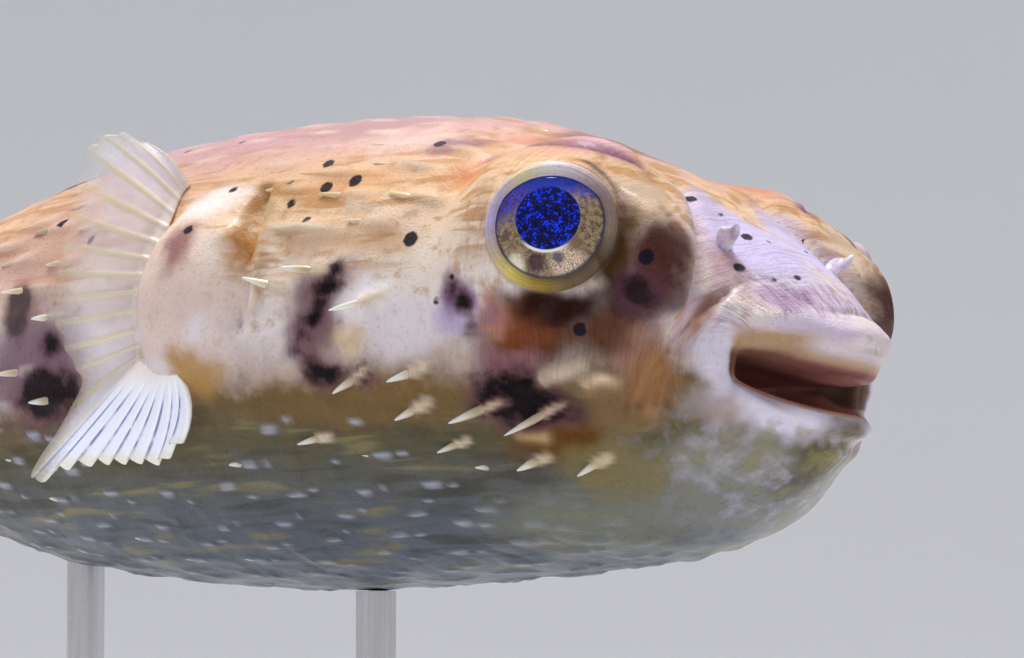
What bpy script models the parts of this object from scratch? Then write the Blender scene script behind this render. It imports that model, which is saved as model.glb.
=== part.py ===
"""A porcupinefish, life size, banked a little as it swims and held by a plain display stand.

The fish is laid out in millimetres in its own frame: X runs forward from the lips, Y to its left,
Z up from the body's axis. place_fish then banks it and lifts it over the middle of the stand.
"""

import math

import bmesh
import bpy
import numpy as np
from mathutils import Matrix, Vector

MM = 0.001
GAP = 0.3
CLEARANCE = 0.45

# How the fish hangs over the stand.
NOSE_UP = math.radians(2.1)
RIGHT_SIDE_UP = math.radians(6.8)
BODY_MIDDLE = 88.0
AXIS_HEIGHT = 98.0

# Rings of the body, from inside the mouth out over the lips and back to the root of the tail:
# distance behind the lips, half width, top, bottom, how far the sides are set back, squareness,
# how far the chin rakes back for each millimetre below the mouth, and droop of the lips' middle.
STATIONS = [
    ("throat", 15.0, 3.5, -3.9, -5.6, 1.5, 2.0, 0.30, 1.4),
    ("palate", 9.0, 7.8, -3.4, -6.2, 4.5, 2.4, 0.30, 2.0),
    ("rim", 3.0, 10.2, -3.5, -6.8, 8.6, 5.0, 0.30, 2.6),
    ("edge", 0.9, 10.9, -3.0, -7.2, 9.3, 5.0, 0.30, 2.6),
    ("lip", 0.0, 12.0, 0.0, -8.5, 9.8, 3.6, 0.32, 2.5),
    ("lip_outer", 0.9, 13.6, 2.3, -10.0, 9.8, 2.7, 0.34, 2.0),
    ("muzzle", 3.6, 16.2, 5.0, -13.6, 9.2, 2.2, 0.34, 1.4),
    ("snout", 8.5, 19.4, 8.8, -17.6, 7.4, 2.1, 0.28, 0.8),
    ("nostril", 15.0, 22.4, 13.2, -20.8, 4.8, 2.1, 0.18, 0.3),
    ("eye", 26.0, 26.0, 20.0, -23.2, 1.6, 2.1, 0.06, 0.0),
    ("nape", 42.0, 28.8, 27.0, -24.6, 0.0, 2.1, 0.0, 0.0),
    ("gill", 64.0, 30.2, 30.8, -25.8, 0.0, 2.1, 0.0, 0.0),
    ("belly", 88.0, 29.4, 31.2, -26.0, 0.0, 2.1, 0.0, 0.0),
    ("flank", 116.0, 25.0, 28.0, -23.6, 0.0, 2.1, 0.0, 0.0),
    ("vent", 142.0, 17.4, 20.6, -17.6, 0.0, 2.0, 0.0, 0.0),
    ("stalk", 163.0, 8.8, 12.0, -10.0, 0.0, 2.0, 0.0, 0.0),
    ("root", 184.0, 3.2, 8.4, -7.6, 0.0, 2.0, 0.0, 0.0),
]
MOUTH_LINE = -3.6
SETBACK_CURVE = 1.65
TAIL_BEND = 0.0009
BEND_START = 50.0
HEAD_END = 66.5
TRUNK_END = 156.0
HEAD_RINGS = 26
TRUNK_RINGS = 16
STALK_RINGS = 6
SIDES_ROUND = 40

# Swellings and hollows on both sides: middle, reach along each axis, direction, height, flatness.
SWELLINGS = {
    "eye_turret": ((-26.6, 21.5, 12.4), (16.5, 19.0, 17.0), (0.40, 0.78, 0.42), 6.8, 3.6),
    "muzzle_crease": ((-9.5, 17.5, 8.0), (5.0, 7.0, 12.0), (-0.4, -0.9, 0.0), 1.2, 2.0),
    "turret_front": ((-16.0, 18.5, 7.5), (6.5, 8.0, 11.0), (0.60, 0.80, 0.0), 3.8, 2.2),
    "brow": ((-27.0, 15.5, 21.0), (9.0, 8.0, 7.0), (0.3, 0.3, 0.9), 0.8, 2.2),
    "fin_pad": ((-77.0, 30.0, 6.5), (11.0, 10.0, 15.0), (-0.35, 0.94, 0.0), 3.6, 3.0),
}

EYE_CENTRE = Vector((-27.5, 21.1, 9.4))
EYE_RADIUS = 9.6

# Spines: rings along the body and places round each ring, every other one in turn.
SPINE_FIRST = 18.0
SPINE_STEP = 5.2
SPINE_RINGS = 26
SPINES_ROUND = 20
SPINE_LENGTH = 6.5
SPINE_RADIUS = 0.9
SPINE_FOOT_DEPTH = 0.7

# How the spines lie at each height on the body: lean off the skin in degrees, share of the full
# length, and how deep the point that they turn about is sunk.
SPINE_LIE = {
    "height": (-20.0, -9.0, 0.0, 16.0, 26.0),
    "lean": (3.0, 8.0, 21.0, 14.0, 8.0),
    "share": (0.60, 0.74, 0.95, 1.0, 0.8),
    "sunk": (0.58, 0.75, 1.05, 0.90, 0.70),
}

# Balls that bare skin fills on each side, with no spines: middle, how far the ball reaches along
# each axis.
BARE_BALLS = {
    "eye_turret": ((-25.0, 26.0, 9.5), (15.5, 15.5, 15.5)),
    "turret_front": ((-16.0, 20.0, 6.0), (10.0, 10.0, 10.0)),
    "fin_pad": ((-82.0, 30.0, 4.0), (17.0, 34.0, 21.0)),
}
BARE_MUZZLE = 22.0
BARE_FOREHEAD = 36.0
FOREHEAD_HEIGHT = 10.0
BARE_STALK = 14.0
BARE_SEAM = 1.5

# A head spine leans back over this much of the body, so the last ones keep clear of the trunk.
SPINE_OVERHANG = 7.0

FIN_THICK_ROOT = 1.5
FIN_THICK_TIP = 0.7
FIN_THICK_LEAST = 0.55
FIN_WEB_SHARE = 0.66
FIN_SUNK = 2.0

# The pectoral fin's rays from the top one down: distance of the root behind the lips and its
# height, then how far the tip lies back, out and up from it. The outer rays arch forwards.
PECTORAL_RAYS = [
    ((86.5, 20.0), (3.5, 2.0, 6.0)),
    ((86.5, 18.5), (6.5, 3.5, 8.0)),
    ((86.0, 16.0), (8.5, 4.5, 8.5)),
    ((85.5, 13.0), (9.0, 4.5, 5.0)),
    ((85.5, 10.0), (8.5, 4.5, 2.5)),
    ((85.5, 7.0), (8.0, 4.5, 0.0)),
    ((85.5, 4.0), (8.0, 4.5, -1.5)),
    ((86.0, 1.0), (7.0, 3.5, -2.5)),
    ((86.5, -1.0), (6.0, 2.5, -4.5)),
    ((86.5, -2.0), (10.0, 5.0, -14.5)),
    ((85.5, -2.5), (7.5, 4.0, -13.0)),
    ((84.0, -3.0), (5.0, 3.0, -11.5)),
    ((82.5, -3.5), (3.0, 2.0, -11.0)),
    ((81.0, -3.5), (1.0, 1.0, -11.0)),
    ((80.0, -3.5), (-1.5, 0.5, -11.0)),
    ((79.5, -3.5), (-3.5, 0.5, -8.5)),
]
PECTORAL_COUNT = 11
ARCH_TOP = 1.2
ARCH_LOW = 2.0

# The fins on the midline: root line and tip line from the leading end, and the number of rays.
MEDIAN_FINS = {
    "fin_dorsal": (
        [(-143, 0, 19.4), (-145.8, 0, 18.1), (-148.5, 0, 16.8), (-151.2, 0, 15.7), (-153.8, 0, 14.6)],
        [(-148.5, 0, 32.0), (-156, 0, 40.5), (-164, 0, 42.0), (-168.5, 0, 36.0), (-165, 0, 25.0)],
        9,
    ),
    "fin_anal": (
        [(-143, 0, -16.6), (-145.8, 0, -15.5), (-148.5, 0, -14.6), (-151.2, 0, -13.6), (-153.8, 0, -12.3)],
        [(-147.5, 0, -26.5), (-154, 0, -34.0), (-162, 0, -36.0), (-167.5, 0, -30.5), (-165, 0, -20.5)],
        8,
    ),
    "fin_caudal": (
        [(-183.5, 0, 7.6), (-184.5, 0, 4.2), (-185, 0, 0.4), (-184.5, 0, -3.2), (-183.5, 0, -6.8)],
        [(-203, 0, 15.5), (-215, 0, 11.5), (-219, 0, 0.4), (-215, 0, -10.5), (-203, 0, -14.7)],
        9,
    ),
}

# The forked flap over each nostril: its place, and width, height and thickness from foot to tip.
FLAP_BEHIND = 12.4
FLAP_TURN = math.radians(25.5)
FLAP_HALF_WIDTHS = (0.9, 1.2, 1.9)
FLAP_HEIGHTS = (-1.4, 1.4, 3.0)
FLAP_HALF_THICKS = (0.8, 0.6, 0.35)
FLAP_FORK = 0.9

BASE_LENGTH = 150.0
BASE_WIDTH = 84.0
BASE_HEIGHT = 10.0
ROD_RADIUS = 2.5
ROD_PLACES = {"stand_rod_front": 12.0, "stand_rod_rear": -42.0}
SOCKET_DEPTH = 6.0

SKIN = (0.62, 0.47, 0.33)
FIN_CREAM = (0.80, 0.72, 0.52)
FLESH_WHITE = (0.82, 0.76, 0.80)
EYE_BLUE = (0.05, 0.07, 0.25)
WALNUT = (0.10, 0.05, 0.03)
STEEL = (0.60, 0.60, 0.62)


def clear_scene():
    for item in list(bpy.data.objects):
        bpy.data.objects.remove(item, do_unlink=True)


def material(name, colour, roughness, metallic=0.0):
    made = bpy.data.materials.new(name)
    made.use_nodes = True
    shader = made.node_tree.nodes["Principled BSDF"]
    shader.inputs["Base Color"].default_value = (*colour, 1.0)
    shader.inputs["Roughness"].default_value = roughness
    shader.inputs["Metallic"].default_value = metallic
    return made


def mesh_object(name, points, faces, finish):
    """An object from points in the fish's millimetres or the stand's."""
    mesh = bpy.data.meshes.new(name)
    mesh.from_pydata([Vector(p) * MM for p in points], [], faces)
    mesh.materials.append(finish)
    mesh.shade_smooth()
    mesh.set_sharp_from_angle(angle=math.radians(40))
    made = bpy.data.objects.new(name, mesh)
    bpy.context.collection.objects.link(made)
    return made


def as_guide(item):
    """Keeps a cutter out of the model."""
    item.hide_render = True
    item.display_type = "WIRE"
    return item


def boolean(item, other, operation):
    cut = item.modifiers.new(operation.title(), "BOOLEAN")
    cut.operation = operation
    cut.solver = "EXACT"
    cut.object = other


# The body as a surface: along runs over the stations, around starts at the back's midline and
# goes down the left side.
def station_column(index):
    return np.array([station[index] for station in STATIONS])


def station_places():
    steps = [np.diff(station_column(i)) for i in (1, 2, 3)]
    stride = np.sqrt(steps[0] ** 2 + steps[1] ** 2 + 0.25 * steps[2] ** 2)
    return np.concatenate([[0.0], np.cumsum(stride)])


def smooth_through(along, places, values):
    """A smooth curve through the stations' values."""
    gaps = np.diff(places)
    slopes = np.diff(values) / gaps
    tangents = np.empty_like(values)
    tangents[1:-1] = (slopes[:-1] * gaps[1:] + slopes[1:] * gaps[:-1]) / (gaps[1:] + gaps[:-1])
    tangents[0] = slopes[0]
    tangents[-1] = slopes[-1]
    i = np.clip(np.searchsorted(places, along, side="right") - 1, 0, len(places) - 2)
    u = (along - places[i]) / gaps[i]
    start = (2 * u**3 - 3 * u**2 + 1) * values[i] + (u**3 - 2 * u**2 + u) * gaps[i] * tangents[i]
    end = (3 * u**2 - 2 * u**3) * values[i + 1] + (u**3 - u**2) * gaps[i] * tangents[i + 1]
    return start + end


def along_at(distance):
    """Where the outer skin lies this far behind the lips."""
    lip = [station[0] for station in STATIONS].index("lip")
    return np.interp(distance, station_column(1)[lip:], station_places()[lip:])


def power_wave(value, squareness):
    return np.sign(value) * np.abs(value) ** (2.0 / squareness)


def swell(points):
    for middle, reach, direction, height, flatness in SWELLINGS.values():
        for side in (-1.0, 1.0):
            mirror = np.array([1.0, side, 1.0])
            push = np.array(direction) / np.linalg.norm(direction) * mirror
            distance = np.linalg.norm((points - np.array(middle) * mirror) / np.array(reach), axis=-1)
            weight = (1.0 - np.clip(distance, 0.0, 1.0) ** flatness) ** 2
            points = points + push * (height * weight)[..., None]
    return points


def body_surface(along, around):
    along, around = np.broadcast_arrays(np.asarray(along, float), np.asarray(around, float))
    places = station_places()
    columns = [smooth_through(along, places, station_column(i)) for i in range(1, 9)]
    back, width, top, bottom, setback, squareness, rake, droop = columns
    across = power_wave(np.sin(around), squareness)
    z = (top + bottom) / 2 + (top - bottom) / 2 * power_wave(np.cos(around), squareness)
    z = z - droop * (0.5 - across**2)
    x = -(back + setback * np.abs(across) ** SETBACK_CURVE + rake * np.clip(MOUTH_LINE - z, 0.0, None))
    points = swell(np.stack([x, width * across, z], -1))
    behind = np.clip(-points[..., 0] - BEND_START, 0.0, None)
    points[..., 1] -= TAIL_BEND * behind**2
    return points


def body_normal(along, around):
    step = 1e-3
    down = body_surface(along, around + step) - body_surface(along, around - step)
    back = body_surface(along + step * 20, around) - body_surface(along - step * 20, around)
    normal = np.cross(down, back)
    return normal / (np.linalg.norm(normal, axis=-1, keepdims=True) + 1e-12)


def loft_faces(rings, sides):
    faces = []
    for i in range(rings - 1):
        for j in range(sides):
            k = (j + 1) % sides
            faces.append((i * sides + j, i * sides + k, (i + 1) * sides + k, (i + 1) * sides + j))
    faces.append(tuple(range(sides - 1, -1, -1)))
    faces.append(tuple((rings - 1) * sides + j for j in range(sides)))
    return faces


def ring_places():
    """Where the rings of the head, the trunk and the tail stalk lie along the body."""
    neck, stalk_start, end = along_at(HEAD_END), along_at(TRUNK_END), station_places()[-1]
    slit = along_at(HEAD_END + GAP) - along_at(HEAD_END)
    return [
        np.linspace(0.0, neck, HEAD_RINGS),
        np.linspace(neck + slit, stalk_start, TRUNK_RINGS),
        np.linspace(stalk_start + slit, end, STALK_RINGS),
    ]


def body_length(name, places, finish, outwards=0.0):
    """A length of the body with rings at these places along it, closed by flat ends."""
    along = places[:, None]
    around = np.linspace(0.0, 2 * math.pi, SIDES_ROUND, endpoint=False)[None, :]
    points = body_surface(along, around) + outwards * body_normal(along, around)
    faces = loft_faces(len(places), SIDES_ROUND)
    return mesh_object(name, points.reshape(-1, 3).tolist(), faces, finish)


def scatter(i, j):
    """A steady pseudo-random number for a place on the body."""
    value = math.sin(i * 12.9898 + j * 78.233) * 43758.5453
    return value - math.floor(value)


def bare_of_spines(point, distance):
    """No spines on the eye turrets, the muzzle, the fin pads or the tail stalk."""
    if distance < BARE_MUZZLE or distance > TRUNK_END - BARE_STALK or abs(distance - HEAD_END) < BARE_SEAM:
        return True
    if distance < BARE_FOREHEAD and point[2] > FOREHEAD_HEIGHT:
        return True
    here = np.array([point[0], abs(point[1]), point[2]])
    for middle, reach in BARE_BALLS.values():
        if np.linalg.norm((here - np.array(middle)) / np.array(reach)) < 1.0:
            return True
    return False


def spine_places(first, last):
    """Root, outward normal, backward direction and size of each large spine."""
    found = []
    for i in range(0, SPINE_RINGS, 2):
        distance = SPINE_FIRST + SPINE_STEP * i
        along = along_at(distance)
        for j in range(SPINES_ROUND):
            if (i // 2 + j) % 2 or not first < distance < last:
                continue
            around = 2 * math.pi * (j + 0.3 * scatter(i, j)) / SPINES_ROUND
            root = body_surface(along, around)
            if bare_of_spines(root, distance):
                continue
            normal = Vector(body_normal(along, around))
            back = Vector(body_surface(along + 0.5, around) - root).normalized()
            found.append((Vector(root), normal, back, 0.8 + 0.4 * scatter(j, i)))
    return found


def spine_tip(root, normal, back, size):
    """Where a spine ends, from how the spines lie at its height."""
    lean, share, sunk = [
        float(np.interp(root.z, SPINE_LIE["height"], SPINE_LIE[key])) for key in ("lean", "share", "sunk")
    ]
    axis = math.cos(math.radians(lean)) * back + math.sin(math.radians(lean)) * normal
    return root - sunk * normal + SPINE_LENGTH * share * size * axis


def spine_cones(name, first, last, finish):
    points = []
    faces = []
    for root, normal, back, size in spine_places(first, last):
        tip = spine_tip(root, normal, back, size)
        foot = root - SPINE_FOOT_DEPTH * normal
        axis = (tip - foot).normalized()
        across = axis.cross(normal).normalized()
        over = across.cross(axis)
        start = len(points)
        for k in range(4):
            turn = math.pi / 2 * k
            points.append(foot + SPINE_RADIUS * (math.cos(turn) * across + math.sin(turn) * over))
            faces.append((start + (k + 1) % 4, start + k, start + 4))
        points.append(tip)
        faces.append((start, start + 1, start + 2, start + 3))
    return as_guide(mesh_object(name, points, faces, finish))


def eyeball(name, side, radius, finish):
    ball = bmesh.new()
    bmesh.ops.create_uvsphere(ball, u_segments=20, v_segments=12, radius=radius * MM)
    mesh = bpy.data.meshes.new(name)
    ball.to_mesh(mesh)
    ball.free()
    mesh.materials.append(finish)
    mesh.shade_smooth()
    made = bpy.data.objects.new(name, mesh)
    made.location = Vector((EYE_CENTRE.x, side * EYE_CENTRE.y, EYE_CENTRE.z)) * MM
    bpy.context.collection.objects.link(made)
    return made


def blend(values, u):
    """Evenly spaced values joined smoothly."""
    values = np.asarray(values, float)
    places = np.linspace(0.0, 1.0, len(values))
    if values.ndim == 1:
        return smooth_through(np.asarray(u), places, values)
    return np.stack([smooth_through(np.asarray(u), places, column) for column in values.T], -1)


def fin(name, roots, tips, rays, finish, arch=(0.0, 0.0), rows=5):
    """A fan of rays: a ridge on both faces for each ray, thin between them and at the edge.

    The first and the last rays arch forwards by the two lengths in arch.
    """
    columns = 2 * rays + 1
    u = np.linspace(0.0, 1.0, columns)
    root = blend(roots, u)
    tip = blend(tips, u)
    reach = np.linspace(0.0, 1.0, rows)[:, None, None]
    outwards = np.mean(tip - root, axis=0)
    sunk = root - FIN_SUNK * outwards / np.linalg.norm(outwards)
    middle = sunk * (1 - reach) + tip * reach
    bow = arch[0] * (1 - u) ** 8 + arch[1] * u**6
    middle[..., 0] += bow * (4 * reach * (1 - reach))[..., 0]
    along = np.gradient(middle, axis=1)
    out = np.gradient(middle, axis=0)
    normal = np.cross(along, out)
    normal = normal / np.linalg.norm(normal, axis=-1, keepdims=True)
    ridge = np.where(np.arange(columns) % 2 == 1, 1.0, FIN_WEB_SHARE)[None, :, None]
    thick = (FIN_THICK_ROOT * (1 - reach) + FIN_THICK_TIP * reach) * ridge
    thick = np.maximum(thick, FIN_THICK_LEAST)
    front = middle + normal * thick / 2
    rear = middle - normal * thick / 2
    points = np.concatenate([front.reshape(-1, 3), rear.reshape(-1, 3)])
    faces = fin_faces(rows, columns)
    made = mesh_object(name, points.tolist(), faces, finish)
    turn_outwards(made)
    return made


def fin_faces(rows, columns):
    count = rows * columns
    faces = []
    for i in range(rows - 1):
        for j in range(columns - 1):
            a = i * columns + j
            quad = (a, a + 1, a + columns + 1, a + columns)
            faces.append(quad)
            faces.append(tuple(count + k for k in reversed(quad)))
    edge = [j for j in range(columns)]
    edge += [i * columns + columns - 1 for i in range(1, rows)]
    edge += [(rows - 1) * columns + j for j in range(columns - 2, -1, -1)]
    edge += [i * columns for i in range(rows - 2, 0, -1)]
    for a, b in zip(edge, edge[1:] + edge[:1]):
        faces.append((a, count + a, count + b, b))
    return faces


def turn_outwards(item):
    shape = bmesh.new()
    shape.from_mesh(item.data)
    bmesh.ops.recalc_face_normals(shape, faces=shape.faces)
    shape.to_mesh(item.data)
    shape.free()


def bent(point):
    """A point moved sideways with the bend of the tail."""
    x, y, z = point
    behind = max(-x - BEND_START, 0.0)
    return (x, y - TAIL_BEND * behind**2, z)


def flank_point(distance, height):
    """A point on the left flank, this far behind the lips and at this height."""
    along = along_at(distance)
    around = np.linspace(0.2, math.pi - 0.2, 200)
    points = body_surface(along, around)
    return points[int(np.argmin(np.abs(points[:, 2] - height)))]


def pectoral_line(points, side):
    """The left fin's line, taken off the tail's bend, mirrored for this side and bent again."""
    straight = points.copy()
    straight[:, 1] += TAIL_BEND * np.clip(-points[:, 0] - BEND_START, 0.0, None) ** 2
    return [bent(point * np.array([1, side, 1])) for point in straight]


def make_fins(finish):
    fins = []
    roots = np.array([flank_point(*root) for root, reach in PECTORAL_RAYS])
    tips = roots + np.array([(-back, out, up) for root, (back, out, up) in PECTORAL_RAYS])
    for side, label in ((1.0, "left"), (-1.0, "right")):
        lines = (pectoral_line(roots, side), pectoral_line(tips, side))
        fins.append(fin("fin_pectoral_" + label, *lines, PECTORAL_COUNT, finish, (ARCH_TOP, ARCH_LOW)))
    for name, (root_line, tip_line, rays) in MEDIAN_FINS.items():
        lines = ([bent(point) for point in root_line], [bent(point) for point in tip_line])
        fins.append(fin(name, *lines, rays, finish))
    return fins


def nasal_tentacle(name, side, finish):
    """A short flat flap over the nostril, forked at its tip."""
    base = Vector(body_surface(along_at(FLAP_BEHIND), side * FLAP_TURN))
    normal = Vector(body_normal(along_at(FLAP_BEHIND), side * FLAP_TURN))
    forward = Vector((1, 0, 0))
    across = (forward - forward.dot(normal) * normal).normalized()
    out = normal.cross(across)
    points = []
    for width, height, depth in zip(FLAP_HALF_WIDTHS, FLAP_HEIGHTS, FLAP_HALF_THICKS):
        for k in (-1.0, 0.0, 1.0):
            fork = -FLAP_FORK if k == 0.0 and height == FLAP_HEIGHTS[-1] else 0.0
            for face in (-1.0, 1.0):
                points.append(base + (height + fork) * normal + k * width * across + face * depth * out)
    faces = []
    for i in range(2):
        for j in range(2):
            a, b = i * 6 + j * 2, (i + 1) * 6 + j * 2
            faces.append((a, b, b + 2, a + 2))
            faces.append((a + 1, a + 3, b + 3, b + 1))
        for j in (0, 2):
            a, b = i * 6 + j * 2, (i + 1) * 6 + j * 2
            faces.append((a, a + 1, b + 1, b))
    faces += [(0, 2, 3, 1), (2, 4, 5, 3), (12, 13, 15, 14), (14, 15, 17, 16)]
    made = mesh_object(name, points, faces, finish)
    turn_outwards(made)
    return made


def make_flesh(finish):
    """Head, trunk and tail stalk, with their spines and the sockets of the eyes."""
    names = ("head", "trunk", "tail_stalk")
    head, trunk, stalk = [body_length(n, p, finish) for n, p in zip(names, ring_places())]
    boolean(head, spine_cones("head_spines", 0.0, HEAD_END - SPINE_OVERHANG, finish), "UNION")
    boolean(trunk, spine_cones("trunk_spines", HEAD_END, TRUNK_END, finish), "UNION")
    for side in (-1.0, 1.0):
        boolean(head, as_guide(eyeball("socket", side, EYE_RADIUS + GAP, finish)), "DIFFERENCE")
    return [head, trunk, stalk]


def body_clearance(finish):
    """The whole body a hair larger, to cut back what meets it."""
    return as_guide(body_length("body_clearance", np.concatenate(ring_places()), finish, CLEARANCE))


def place_fish(pieces):
    """Banks the fish and lifts it over the stand."""
    holder = bpy.data.objects.new("fish", None)
    bpy.context.collection.objects.link(holder)
    up = Vector((math.sin(NOSE_UP), -math.cos(NOSE_UP) * math.sin(RIGHT_SIDE_UP), 0.0))
    up.z = math.sqrt(1.0 - up.x**2 - up.y**2)
    ahead = (Vector((1, 0, 0)) - up.x * up).normalized()
    left = up.cross(ahead)
    turn = Matrix((ahead, left, up))
    holder.matrix_world = Matrix.Translation(Vector((BODY_MIDDLE, 0, AXIS_HEIGHT)) * MM) @ turn.to_4x4()
    for piece in pieces:
        piece.parent = holder
    return holder


def stand_base(finish):
    shape = bmesh.new()
    outline = []
    for k in range(40):
        turn = 2 * math.pi * k / 40
        x = BASE_LENGTH / 2 * power_wave(math.cos(turn), 3.2)
        y = BASE_WIDTH / 2 * power_wave(math.sin(turn), 3.2)
        outline.append(shape.verts.new(Vector((x, y, 0)) * MM))
    floor = shape.faces.new(outline)
    top = bmesh.ops.extrude_face_region(shape, geom=[floor])
    raised = [item for item in top["geom"] if isinstance(item, bmesh.types.BMVert)]
    bmesh.ops.translate(shape, verts=raised, vec=Vector((0, 0, BASE_HEIGHT)) * MM)
    bmesh.ops.recalc_face_normals(shape, faces=shape.faces)
    mesh = bpy.data.meshes.new("stand_base")
    shape.to_mesh(mesh)
    shape.free()
    mesh.materials.append(finish)
    made = bpy.data.objects.new("stand_base", mesh)
    bpy.context.collection.objects.link(made)
    edge = made.modifiers.new("Edge", "BEVEL")
    edge.width = 1.5 * MM
    edge.segments = 2
    edge.limit_method = "ANGLE"
    edge.angle_limit = math.radians(50)
    return made


def rod(name, x, radius, bottom, top, finish):
    shape = bmesh.new()
    bmesh.ops.create_cone(
        shape, cap_ends=True, segments=20, radius1=radius * MM, radius2=radius * MM, depth=(top - bottom) * MM
    )
    mesh = bpy.data.meshes.new(name)
    shape.to_mesh(mesh)
    shape.free()
    mesh.materials.append(finish)
    mesh.shade_smooth()
    mesh.set_sharp_from_angle(angle=math.radians(40))
    made = bpy.data.objects.new(name, mesh)
    made.location = Vector((x, 0, (top + bottom) / 2)) * MM
    bpy.context.collection.objects.link(made)
    return made


def make_stand(clearance):
    wood = material("walnut", WALNUT, 0.45)
    steel = material("steel", STEEL, 0.3, 1.0)
    base = stand_base(wood)
    for name, x in ROD_PLACES.items():
        foot = BASE_HEIGHT - SOCKET_DEPTH
        post = rod(name, x, ROD_RADIUS, foot + GAP, AXIS_HEIGHT, steel)
        boolean(post, clearance, "DIFFERENCE")
        hole = rod(name + "_socket", x, ROD_RADIUS + GAP, foot, BASE_HEIGHT + 5.0, steel)
        boolean(base, as_guide(hole), "DIFFERENCE")


def main():
    clear_scene()
    skin = material("skin", SKIN, 0.35)
    cream = material("fin_membrane", FIN_CREAM, 0.4)
    white = material("flap", FLESH_WHITE, 0.4)
    blue = material("eye_glass", EYE_BLUE, 0.05)
    flesh = make_flesh(skin)
    clearance = body_clearance(skin)
    attached = make_fins(cream)
    for side, label in ((1.0, "left"), (-1.0, "right")):
        attached.append(nasal_tentacle("nasal_tentacle_" + label, side, white))
    for piece in attached:
        boolean(piece, clearance, "DIFFERENCE")
    eyes = [eyeball("eye_left", 1.0, EYE_RADIUS, blue), eyeball("eye_right", -1.0, EYE_RADIUS, blue)]
    guides = [item for item in bpy.data.objects if item.hide_render]
    place_fish(flesh + attached + eyes + guides)
    make_stand(clearance)


main()
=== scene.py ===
import math

import bmesh
import bpy
import numpy as np
from mathutils import Matrix, Vector, noise
from mathutils.bvhtree import BVHTree
from mathutils.geometry import delaunay_2d_cdt


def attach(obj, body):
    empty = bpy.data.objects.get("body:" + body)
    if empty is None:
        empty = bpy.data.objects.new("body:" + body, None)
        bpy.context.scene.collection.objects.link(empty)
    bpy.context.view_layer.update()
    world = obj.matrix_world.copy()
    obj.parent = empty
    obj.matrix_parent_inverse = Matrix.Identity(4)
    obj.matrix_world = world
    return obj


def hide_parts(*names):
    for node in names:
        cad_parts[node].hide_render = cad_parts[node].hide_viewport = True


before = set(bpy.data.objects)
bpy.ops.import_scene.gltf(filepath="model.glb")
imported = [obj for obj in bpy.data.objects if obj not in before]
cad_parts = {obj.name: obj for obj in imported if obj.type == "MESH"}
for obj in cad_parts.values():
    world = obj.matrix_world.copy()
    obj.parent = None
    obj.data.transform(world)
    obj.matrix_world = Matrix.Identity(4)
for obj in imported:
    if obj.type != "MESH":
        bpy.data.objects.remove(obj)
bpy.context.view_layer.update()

mm = 0.001

# The fish is laid out in millimetres: x forward from the lips, y to its left, z up from its axis.
hang = {"noseUp": 2.1, "rightSideUp": 6.8, "bodyMiddle": 88.0, "axisHeight": 98.0}


def fishMatrix():
    nose, roll = math.radians(hang["noseUp"]), math.radians(hang["rightSideUp"])
    up = Vector((math.sin(nose), -math.cos(nose) * math.sin(roll), 0.0))
    up.z = math.sqrt(1.0 - up.x**2 - up.y**2)
    ahead = (Vector((1, 0, 0)) - up.x * up).normalized()
    turn = Matrix((ahead, up.cross(ahead), up)).to_4x4()
    middle = Vector((hang["bodyMiddle"], 0, hang["axisHeight"])) * mm
    return Matrix.Translation(middle) @ turn @ Matrix.Scale(mm, 4)


fishToWorld = fishMatrix()


def smoothStep(low, high, value):
    t = np.clip((value - low) / (high - low), 0.0, 1.0)
    return t * t * (3 - 2 * t)


def unit(vectors):
    return vectors / (np.linalg.norm(vectors, axis=-1, keepdims=True) + 1e-12)


# noise from -1 to 1, with lumps about this many millimetres across
def softNoise(points, size, seed=0.0):
    flat = np.asarray(points, float).reshape(-1, 3) / size + seed
    values = np.array([noise.noise(p) for p in flat.tolist()])
    return values.reshape(np.shape(points)[:-1])


def addObject(name, data):
    made = bpy.data.objects.new(name, data)
    bpy.context.collection.objects.link(made)
    return made


def meshObject(name, points, faces, material, matrix=fishToWorld):
    mesh = bpy.data.meshes.new(name)
    mesh.from_pydata(np.asarray(points).reshape(-1, 3).tolist(), [], faces)
    mesh.transform(matrix)
    mesh.materials.append(material)
    mesh.shade_smooth()
    return addObject(name, mesh)


# the quads of a grid of points, row by row
def gridFaces(rows, columns, start=0, closed=True, flipped=False):
    faces = []
    for i in range(rows - 1):
        for j in range(columns if closed else columns - 1):
            a = start + i * columns + j
            b = start + i * columns + (j + 1) % columns
            face = (a, b, b + columns, a + columns)
            faces.append((face[0], *face[:0:-1]) if flipped else face)
    return faces


def fanFaces(tip, start, count):
    return [(tip, start + k, start + (k + 1) % count) for k in range(count)]


def triangleCount(mesh):
    return sum(len(p.vertices) - 2 for p in mesh.polygons)


# an object's shape with its modifiers, as a plain mesh in place of the object
def evaluatedMesh(made):
    bpy.context.view_layer.update()
    mesh = bpy.data.meshes.new_from_object(made.evaluated_get(bpy.context.evaluated_depsgraph_get()))
    bpy.data.objects.remove(made, do_unlink=True)
    return mesh


# kind of an attribute and name of its values, by how many numbers each point has
attributeKinds = {1: ("FLOAT", "value"), 3: ("FLOAT_VECTOR", "vector"), 4: ("FLOAT_COLOR", "color")}


def setAttributes(mesh, **fields):
    for name, values in fields.items():
        values = np.asarray(values, np.float32)
        kind, key = attributeKinds[values.shape[1] if values.ndim > 1 else 1]
        mesh.attributes.new(name, kind, "POINT").data.foreach_set(key, values.ravel())


def getAttribute(mesh, name, width):
    values = np.zeros(len(mesh.vertices) * width, np.float32)
    mesh.attributes[name].data.foreach_get(attributeKinds[width][1], values)
    return values.reshape(-1, width)


def turnOutwards(made):
    shape = bmesh.new()
    shape.from_mesh(made.data)
    bmesh.ops.recalc_face_normals(shape, faces=shape.faces)
    shape.to_mesh(made.data)
    shape.free()


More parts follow.
